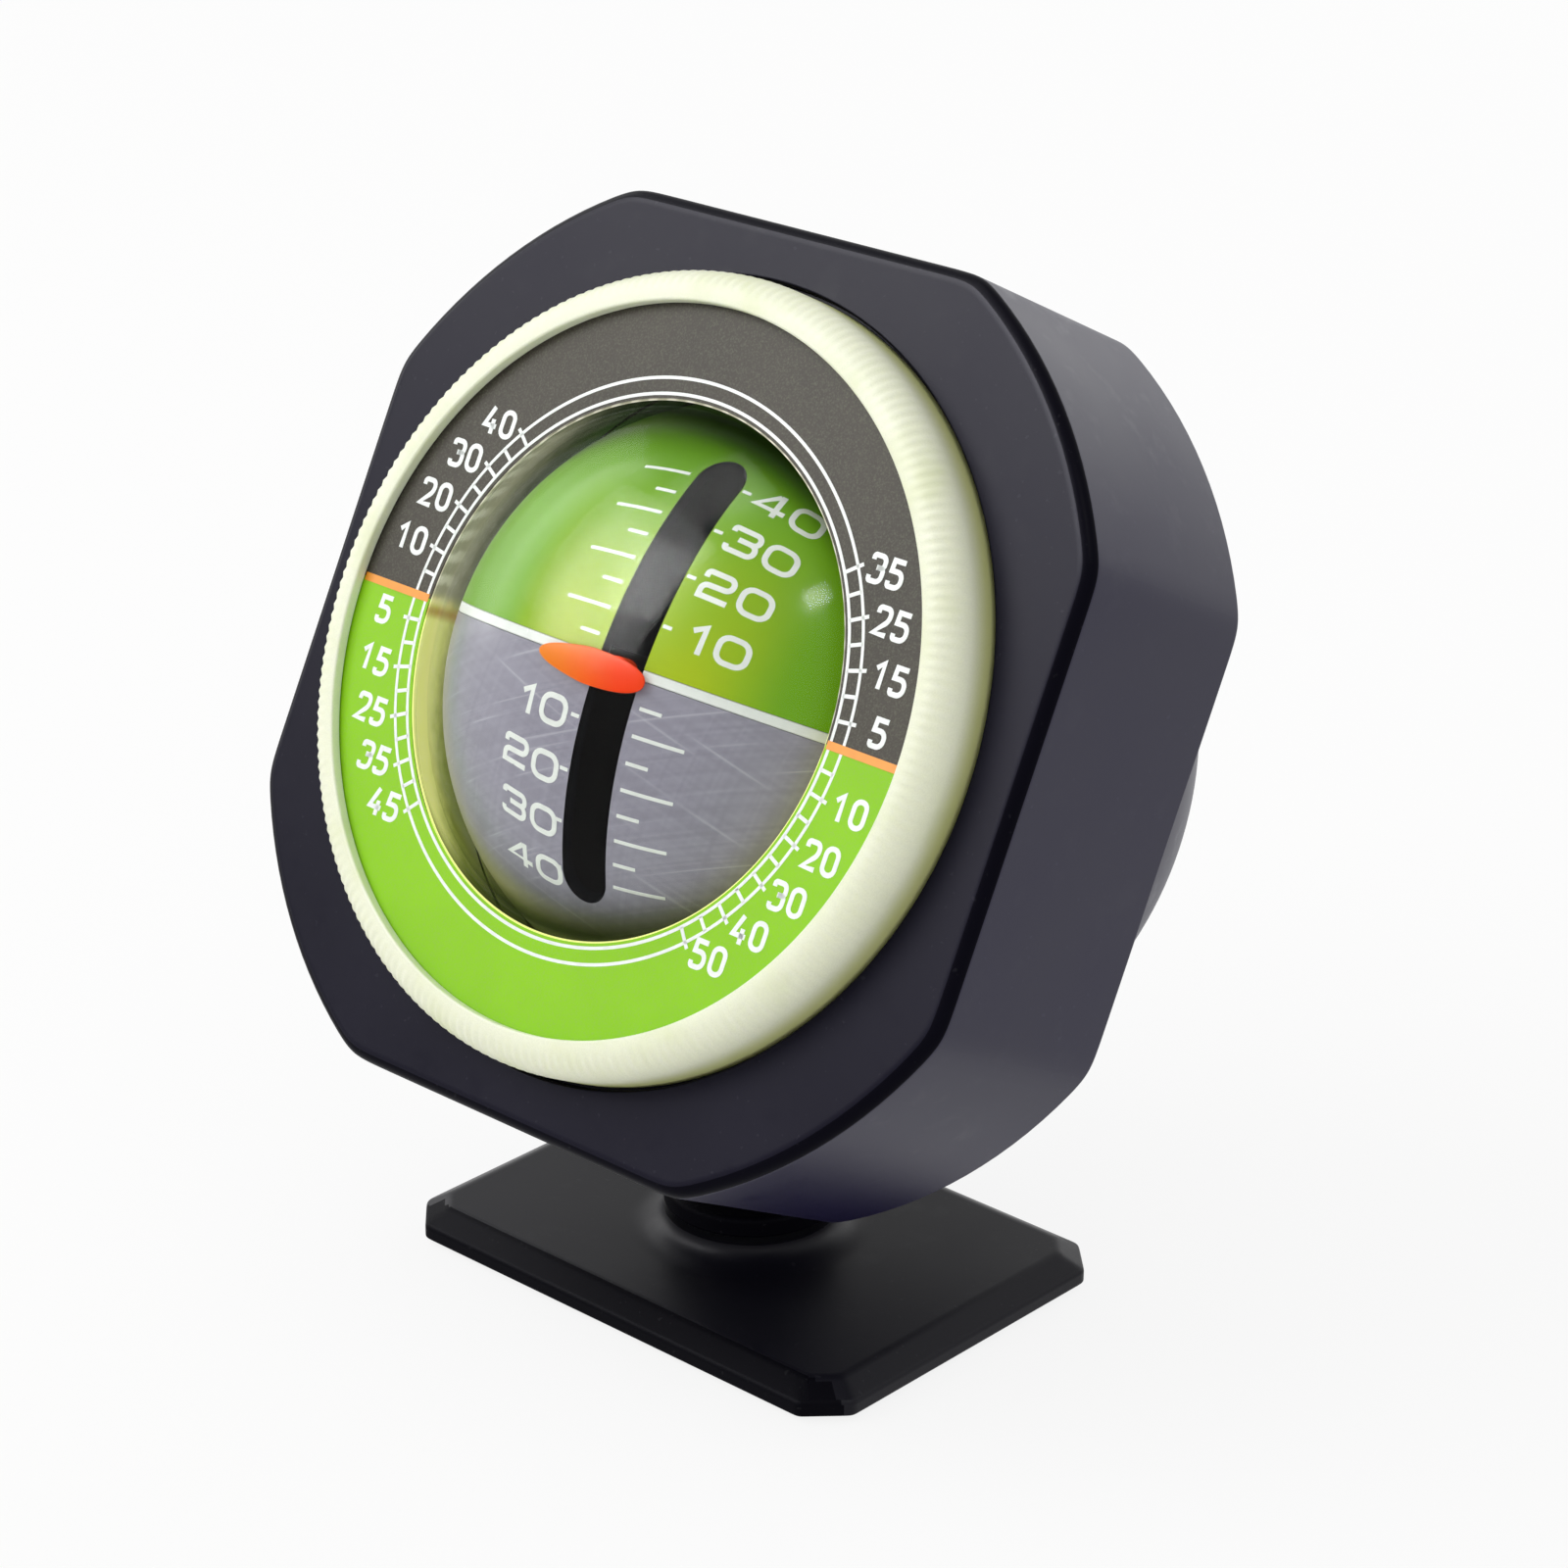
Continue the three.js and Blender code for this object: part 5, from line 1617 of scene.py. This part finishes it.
def lamp(name, azimuth, elevation, size, power, roll=0, distance=900, gloss_only=False):
    """A soft box that looks at the target, with angles in degrees, sizes in millimetres and power in
    watts. One for gloss only shows in polished surfaces, and adds no light to matt ones."""
    light = bpy.data.lights.new(name, "AREA")
    light.shape = "RECTANGLE"
    light.size, light.size_y = mm(size[0]), mm(size[1])
    light.energy = power
    holder = bpy.data.objects.new(name, light)
    bpy.context.scene.collection.objects.link(holder)
    turns = [math.radians(turn) for turn in (azimuth, elevation, roll)]
    holder.matrix_world = looking(*turns, mm(distance))
    holder.visible_diffuse = not gloss_only


def looking(azimuth, elevation, roll, distance):
    """The place of a camera or lamp that looks at the target from an azimuth, an elevation and a
    distance, rolled about its line of sight."""
    level = math.cos(elevation)
    back = np.array([math.sin(azimuth) * level, -math.cos(azimuth) * level, math.sin(elevation)])
    eye = TARGET + back * distance
    right = unit(np.cross([0, 0, 1], back))
    up = np.cross(back, right)
    turned_right = math.cos(roll) * right + math.sin(roll) * up
    turned_up = -math.sin(roll) * right + math.cos(roll) * up
    matrix = np.eye(4)
    matrix[:3, 0], matrix[:3, 1], matrix[:3, 2], matrix[:3, 3] = turned_right, turned_up, back, eye
    return Matrix(matrix.tolist())


# How strongly the world lights matt surfaces, and for the floor, in metres: half its side, the lines
# of its grid, the share of plain white near the part, and from where to where that grows to all
FILL = 0.69
FLOOR_HALF = 4.0
FLOOR_LINES = 9
FLOOR_GLOW = 0.86
FLOOR_NEAR = 0.3
FLOOR_FAR = 1.2
FLOOR_CLOUD_SIZE = 0.4
WHITE = (1, 1, 1, 1)
SENSOR_WIDTH = 36


def seen_directly(finish):
    """1 for camera, glossy and transmission rays, and 0 for the rest."""
    outputs = finish.node("LightPath").output.node.outputs
    camera, glossy, through = [
        Socket(finish, outputs[f"Is {kind} Ray"]) for kind in ("Camera", "Glossy", "Transmission")
    ]
    return finish.node("Clamp", {}, {0: camera + glossy + through})


class World(Finish):
    """The world's nodes, written as a material's are."""

    def __init__(self, world):
        world.use_nodes = True
        self.tree = world.node_tree
        self.shader = self.tree.nodes["Background"]


def floor_finish(stage):
    """A pale matt floor, most of whose white is seen directly, so that its shadow stays soft. Far out
    it is all white, so that it has no edge."""
    finish = Finish("floor")
    where = finish.local()
    cloudy = finish.noise(where, FLOOR_CLOUD_SIZE, 2.0)
    reach = finish.node("VectorMath", {"operation": "LENGTH"}, {0: where}, output=1)
    far = reach.rise(FLOOR_NEAR, FLOOR_FAR)
    glowing = seen_directly(finish) * (FLOOR_GLOW + far * (1 - FLOOR_GLOW))
    shade = finish.blend(cloudy, stage.floor, tinted(stage.floor, 0.98))
    matt = finish.node("BsdfDiffuse", {}, {"Color": shade})
    glow = finish.node("Emission", {}, {"Color": WHITE, "Strength": 1.0})
    mixed = finish.node("MixShader", {}, {0: glowing, 1: matt, 2: glow})
    finish.tree.links.new(mixed.output, finish.tree.nodes["Material Output"].inputs["Surface"])
    finish.tree.nodes.remove(finish.shader)
    return finish.material


# Operators, one for each piece or group of like pieces

# The grain of each moulded piece: how far across it is, and how high
CASE_GRAIN = (mm(0.09), mm(0.012))
FOOT_GRAIN = (mm(0.12), mm(0.016))
HIDDEN_GRAIN = (mm(0.12), mm(0.01))
RUBBER_GRAIN = (mm(0.2), mm(0.03))
FOAM_GRAIN = (mm(0.3), mm(0.06))
# Colours of the pieces that are mostly out of sight
HIDDEN_BLACK = srgb(8, 8, 12)
RUBBER_GREY = srgb(30, 30, 32)
FOAM_GREY = srgb(38, 38, 40)
BRASS = srgb(190, 160, 90)
DARK_STEEL = srgb(40, 40, 46)
LEAD = srgb(100, 103, 108)
ZINC = srgb(176, 180, 188)
HINGE_ZINC = srgb(150, 153, 160)
# How squarely a face of the case looks forwards, at least, to take the edge's darker finish (painted shade) or
# the face's finish
EDGE_FACING = 0.1
FACE_FACING = 0.93


class INCLINOMETER_OT_stage(bpy.types.Operator):
    """Makes the floor, the lamps, the world and the camera"""

    bl_idname = "inclinometer.stage"
    bl_label = "Stage"

    def execute(self, context):
        stage = context.scene.inclinometer_stage
        line = np.linspace(-FLOOR_HALF, FLOOR_HALF, FLOOR_LINES)
        across, along = np.meshgrid(line, line)
        points = np.stack([across, along, 0 * across], axis=-1).reshape(-1, 3)
        mesh = mesh_of("floor", points, grid_quads(FLOOR_LINES, FLOOR_LINES, False, False))
        mesh.materials.append(floor_finish(stage))
        floor = bpy.data.objects.new("floor", mesh)
        context.scene.collection.objects.link(floor)

        lamp("key_box", azimuth=-40, elevation=42, size=(750, 560), power=3.3)
        lamp("back_strip", azimuth=172, elevation=20, size=(900, 260), power=1.0)
        lamp("window_sheen", azimuth=-39.1, elevation=48.7, size=(670, 660), power=11.1, roll=24.8,
             distance=800, gloss_only=True)
        lamp("window_top", azimuth=-94.8, elevation=75.2, size=(370, 460), power=2.4, roll=74.0,
             distance=980, gloss_only=True)
        lamp("window_core", azimuth=-22, elevation=54, size=(250, 300), power=2.4, roll=20,
             distance=700, gloss_only=True)
        lamp("side_sheen", azimuth=-90.5, elevation=23.3, size=(400, 800), power=2.9, roll=42.1,
             gloss_only=True)
        lamp("right_sheen", azimuth=80, elevation=56, size=(130, 90), power=0.75, gloss_only=True)

        world = context.scene.world or bpy.data.worlds.new("World")
        context.scene.world = world
        sky = World(world)
        sky.shader.inputs["Color"].default_value = WHITE
        sky.put("Strength", FILL + seen_directly(sky) * (1 - FILL))

        data = bpy.data.cameras.new("camera")
        data.sensor_width = SENSOR_WIDTH
        data.lens = stage.focal_length
        camera = bpy.data.objects.new("camera", data)
        context.scene.collection.objects.link(camera)
        camera.matrix_world = looking(stage.azimuth, stage.elevation, stage.roll, stage.distance)
        context.scene.camera = camera
        context.scene.view_settings.view_transform = "Standard"
        return {"FINISHED"}


class INCLINOMETER_OT_case_front(bpy.types.Operator):
    """Makes the front of the case, with its window and the recess for the glowing ring"""

    bl_idname = "inclinometer.case_front"
    bl_label = "Case front"

    def execute(self, context):
        scene = context.scene
        case = scene.inclinometer_case
        shape = case_front_shape(case, scene.inclinometer_dial, scene.inclinometer_ball)
        # Copies of the case's plastic by facing: bluer, glossier sides (painted sheen), a duller face and a
        # darker edge (painted shade)
        finishes = [
            moulded("case_plastic", case.side_plastic, 0.4, *CASE_GRAIN, specular=0.38),
            moulded("case_face", case.plastic, 0.36, *CASE_GRAIN, specular=0.09),
            moulded("case_edge_painted_shade", tinted(case.plastic, 0.4), 0.36, *CASE_GRAIN, specular=0.03),
        ]
        piece = make_piece("case_front_shell", placed(HEAD, shape), "head", finishes, ["case_front"])
        finish_facing(piece.data, -HEAD_DEPTH, ((EDGE_FACING, 2), (FACE_FACING, 1)))
        return {"FINISHED"}


class INCLINOMETER_OT_rear_cover(bpy.types.Operator):
    """Makes the rear cover with its dome, and the tongue that hangs on the hinge"""

    bl_idname = "inclinometer.rear_cover"
    bl_label = "Rear cover"

    def execute(self, context):
        case = context.scene.inclinometer_case
        plastic = bpy.data.materials["case_plastic"]
        cover = make_piece(
            "rear_cover_shell", placed(HEAD, rear_cover_shape(case)), "head", plastic, ["rear_cover"]
        )
        room = case.screw_head + SCREW_ROOM
        bore = [(0, BORE_START), (SCREW_BORE, BORE_START), (SCREW_BORE, -SCREW_RECESS),
                (room, -SCREW_RECESS), (room, BORE_END), (0, BORE_END)]
        hole = turned(bore, 40, closed_rows=False)
        cutters = [placed(HEAD.at(x, case.depth, z), hole) for x, z in screw_places(case)]
        cut(cover, together(cutters))
        inward = HEAD([0, case.depth, 0]) - HINGE
        reach = np.linalg.norm(inward) - case.dome_radius + case.dome_wall / 2
        tongue = lever_shape(TONGUE_RADIUS, reach, 2 * TONGUE_HALF_WIDTH, BOLT_RADIUS + HINGE_GAP,
                             hinge_place(inward), -TONGUE_HALF_WIDTH)
        make_piece("rear_tongue", tongue, "head", plastic, ["rear_cover"])
        return {"FINISHED"}


class INCLINOMETER_OT_case_screws(bpy.types.Operator):
    """Makes the four screws that hold the rear cover"""

    bl_idname = "inclinometer.case_screws"
    bl_label = "Case screws"

    def execute(self, context):
        case = context.scene.inclinometer_case
        zinc = metal("zinc_plate", ZINC, 0.32, HEAD, HEAD_TURN, ALONG_X)
        shape = screw_shape(case.screw_head, SCREW_HEAD_HEIGHT, SCREW_SHANK_RADIUS, SCREW_SHANK_LENGTH,
                            cross_recess)
        for number, (x, z) in enumerate(screw_places(case), 1):
            there = placed(HEAD.at(x, case.depth - SCREW_SINK, z), shape)
            make_piece(f"case_screw_head_{number}", there, "head", zinc, [f"case_screw_{number}"])
        return {"FINISHED"}


class INCLINOMETER_OT_glow_ring(bpy.types.Operator):
    """Makes the ribbed glowing ring"""

    bl_idname = "inclinometer.glow_ring"
    bl_label = "Glow ring"

    def execute(self, context):
        dial = context.scene.inclinometer_dial
        shape = placed(HEAD, glow_ring_shape(dial))
        make_piece("glow_ring_ribbed", shape, "head", glow_plastic(dial), ["glow_ring"],
                   RIB_SHARP_FROM)
        return {"FINISHED"}


class INCLINOMETER_OT_dial(bpy.types.Operator):
    """Makes the dial with its white scale and orange zero lines"""

    bl_idname = "inclinometer.dial"
    bl_label = "Dial"

    def execute(self, context):
        scene = context.scene
        dial, ball = scene.inclinometer_dial, scene.inclinometer_ball
        plate = placed(HEAD, dial_shape(dial, ball))
        make_piece("dial_plate", plate, "head", dial_print(dial), ["dial_ring"])
        white = painted("white_print", dial.white)
        make_piece("dial_scale", on_dial(dial, dial_scale(dial)), "head", white, ["dial_ring"])
        ends = [((side * ZERO_START, 0), (side * ZERO_END, 0)) for side in (-1, 1)]
        lines = [straight(start, end, ZERO_WIDTH, ZERO_LIFT) for start, end in ends]
        orange = painted("orange_print", dial.zero)
        make_piece("dial_zero_lines", on_dial(dial, lines), "head", orange, ["dial_ring"])
        return {"FINISHED"}


class INCLINOMETER_OT_lens(bpy.types.Operator):
    """Makes the clear lens over the ball"""

    bl_idname = "inclinometer.lens"
    bl_label = "Lens"

    def execute(self, context):
        dial, ball = context.scene.inclinometer_dial, context.scene.inclinometer_ball
        shape = placed(HEAD, lens_shape(ball))
        make_piece("lens_dome", shape, "head", clear_plastic(), ["dome_lens"])
        liner = placed(HEAD, liner_shape(dial, ball))
        make_piece("lens_edge_painted_light", liner, "head", liner_tint(), sharp=LINER_SHARP_FROM)
        return {"FINISHED"}


class INCLINOMETER_OT_inner_parts(bpy.types.Operator):
    """Gives the pieces inside the case their finishes"""

    bl_idname = "inclinometer.inner_parts"
    bl_label = "Inner parts"

    def execute(self, context):
        black = moulded("hidden_black", HIDDEN_BLACK, 0.45, *HIDDEN_GRAIN, specular=0.02)
        rubber = moulded("seal_rubber", RUBBER_GREY, 0.75, *RUBBER_GRAIN, specular=0.25)
        brass = metal("bearing_brass", BRASS, 0.3, GIMBAL, GIMBAL_TURNS, ALONG_Y)
        dark_steel = metal("dark_steel", DARK_STEEL, 0.4, GIMBAL, GIMBAL_TURNS, ALONG_Y)
        lead = metal("weight_lead", LEAD, 0.6, GIMBAL, GIMBAL_TURNS, ALONG_X)
        dress(black, "capsule_back")
        dress(rubber, "capsule_seal", "bearing_cap")
        dress(brass, "roll_bearing")
        dress(dark_steel, "roll_shaft", "shaft_clip", "pitch_axle")
        dress(lead, "ball_weight")
        return {"FINISHED"}


class INCLINOMETER_OT_ball(bpy.types.Operator):
    """Makes the ball's two shells and the white plates between them"""

    bl_idname = "inclinometer.ball"
    bl_label = "Ball"

    def execute(self, context):
        scene = context.scene
        dial, ball = scene.inclinometer_dial, scene.inclinometer_ball
        black = bpy.data.materials["hidden_black"]
        shells = (("upper", 1, "ball_green", ball_green(ball)), ("lower", -1, "ball_grey", ball_grey(ball)))
        for name, up, slot, finish in shells:
            shape = placed(BALL, ball_shell_shape(ball, up))
            shell = make_piece(f"{name}_shell", shape, "ball", [finish, black], [f"{name}_ball_shell"])
            sharpen_border(shell.data)
            wall = shell.modifiers.new("Wall", "SOLIDIFY")
            wall.thickness = ball.wall
            wall.offset = -1
            wall.material_offset = 1
            wall.material_offset_rim = 1
        plastic = horizon_plastic(dial, ball)
        for name, side in (("right", 1), ("left", -1)):
            shape = placed(BALL, oriented([horizon_shape(ball, side), hub_shape(side)]))
            make_piece(f"{name}_horizon", shape, "ball", plastic, [f"{name}_horizon_plate"])
        return {"FINISHED"}


class INCLINOMETER_OT_ball_scale(bpy.types.Operator):
    """Prints the white scale on the ball"""

    bl_idname = "inclinometer.ball_scale"
    bl_label = "Ball scale"

    def execute(self, context):
        ball = context.scene.inclinometer_ball
        white = bpy.data.materials["white_print"]
        make_piece("ball_scale", on_ball(ball, ball_scale(ball)), "ball", white)
        return {"FINISHED"}


class INCLINOMETER_OT_pointer(bpy.types.Operator):
    """Makes the orange pointer and the collar that holds it on the stem"""

    bl_idname = "inclinometer.pointer"
    bl_label = "Pointer"

    def execute(self, context):
        ball = context.scene.inclinometer_ball
        shape = oriented([pointer_shape(ball), collar_shape(ball)])
        make_piece("pointer_blade", placed(GIMBAL, shape), "roll_frame", pointer_plastic(ball),
                   ["pitch_pointer"])
        return {"FINISHED"}


class INCLINOMETER_OT_foot(bpy.types.Operator):
    """Makes the foot plate and its adhesive pad"""

    bl_idname = "inclinometer.foot"
    bl_label = "Foot"

    def execute(self, context):
        foot = context.scene.inclinometer_foot
        plastic = moulded("foot_plastic", foot.plastic, 0.4, *FOOT_GRAIN)
        foam = moulded("pad_foam", FOAM_GREY, 0.9, *FOAM_GRAIN, specular=0.2, cloud=0.2)
        # Painted shade: a darker copy of the foot's plastic for its front bevel and the fork under the head
        shade = moulded("foot_painted_shade", tinted(foot.plastic, 0.5), 0.5, *FOOT_GRAIN, specular=0.03)
        shape = foot_shape(foot)
        base = make_piece("foot_base", shape, "foot", [plastic, shade], ["foot_plate"]).data
        front = of_faces(base, "center")[:, 1] < foot.bevel + SHADE_PAST_BEVEL - foot.half_depth
        front &= of_faces(base, "normal")[:, 1] < -SHADE_FACING
        base.polygons.foreach_set("material_index", front.astype(np.int32))
        make_piece("foot_pad", pad_shape(foot), "foot", foam, ["adhesive_pad"])
        zinc = bpy.data.materials["zinc_plate"]
        dress(zinc, "swivel_screw")
        washer = [(FORK_BORE, WASHER_BOTTOM), (WASHER_RADIUS, WASHER_BOTTOM), (WASHER_RADIUS, WASHER_TOP),
                  (FORK_BORE, WASHER_TOP)]
        washer = placed(STANDING, turned(softened(washer, WASHER_SOFT, 3, closed=True), 72))
        make_piece("swivel_washer", washer, "foot", zinc, ["friction_washer"])
        return {"FINISHED"}


class INCLINOMETER_OT_fork(bpy.types.Operator):
    """Makes the fork, and the bolt and nut of the hinge"""

    bl_idname = "inclinometer.fork"
    bl_label = "Fork and hinge"

    def execute(self, context):
        foot = context.scene.inclinometer_foot
        # The fork takes the foot's darker copy: painted shade under the head
        plastic = bpy.data.materials["foot_painted_shade"]
        make_piece("fork_body", oriented(fork_shapes(foot)), "fork", plastic, ["swivel_fork"])
        zinc = metal("hinge_zinc", HINGE_ZINC, 0.34, PART, (0, 0, 0), ALONG_X)
        end = TONGUE_HALF_WIDTH + HINGE_GAP + EAR_THICKNESS + BOLT_HEAD_AIR + BOLT_HEAD_HEIGHT
        across = hinge_place([0, 0, 1])
        shank = 2 * end - BOLT_RADIUS
        bolt = screw_shape(BOLT_HEAD_RADIUS, BOLT_HEAD_HEIGHT, BOLT_RADIUS, shank, slot_recess)
        bolt = placed(across.at(0, end, 0), bolt)
        make_piece("hinge_bolt_turned", bolt, "fork", zinc, ["hinge_bolt"])
        nut = nut_shape(across, -end)
        make_piece("hinge_nut_turned", nut, "fork", zinc, ["hinge_nut"])
        return {"FINISHED"}


OPERATORS = (
    INCLINOMETER_OT_stage,
    INCLINOMETER_OT_case_front,
    INCLINOMETER_OT_rear_cover,
    INCLINOMETER_OT_case_screws,
    INCLINOMETER_OT_glow_ring,
    INCLINOMETER_OT_dial,
    INCLINOMETER_OT_lens,
    INCLINOMETER_OT_inner_parts,
    INCLINOMETER_OT_ball,
    INCLINOMETER_OT_ball_scale,
    INCLINOMETER_OT_pointer,
    INCLINOMETER_OT_foot,
    INCLINOMETER_OT_fork,
)


class INCLINOMETER_PT_panel(bpy.types.Panel):
    """Lists the sizes, the colours and the pieces"""

    bl_idname = "INCLINOMETER_PT_panel"
    bl_label = "Dash inclinometer"
    bl_space_type = "VIEW_3D"
    bl_region_type = "UI"
    bl_category = "Inclinometer"

    def draw(self, context):
        layout = self.layout
        for operator in OPERATORS:
            layout.operator(operator.bl_idname)
        for name, group in SETTINGS.items():
            box = layout.box()
            box.label(text=group.__name__)
            for setting in group.__annotations__:
                box.prop(getattr(context.scene, name), setting)


CLASSES = (*SETTINGS.values(), *OPERATORS, INCLINOMETER_PT_panel)


def register():
    for each in CLASSES:
        bpy.utils.register_class(each)
    for name, group in SETTINGS.items():
        setattr(bpy.types.Scene, name, PointerProperty(type=group))


def unregister():
    for name in SETTINGS:
        delattr(bpy.types.Scene, name)
    for each in reversed(CLASSES):
        bpy.utils.unregister_class(each)


def main():
    """Makes all the pieces through the operators."""
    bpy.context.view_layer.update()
    register()
    for operator in OPERATORS:
        group, name = operator.bl_idname.split(".")
        getattr(getattr(bpy.ops, group), name)()


if __name__ == "__main__":
    main()
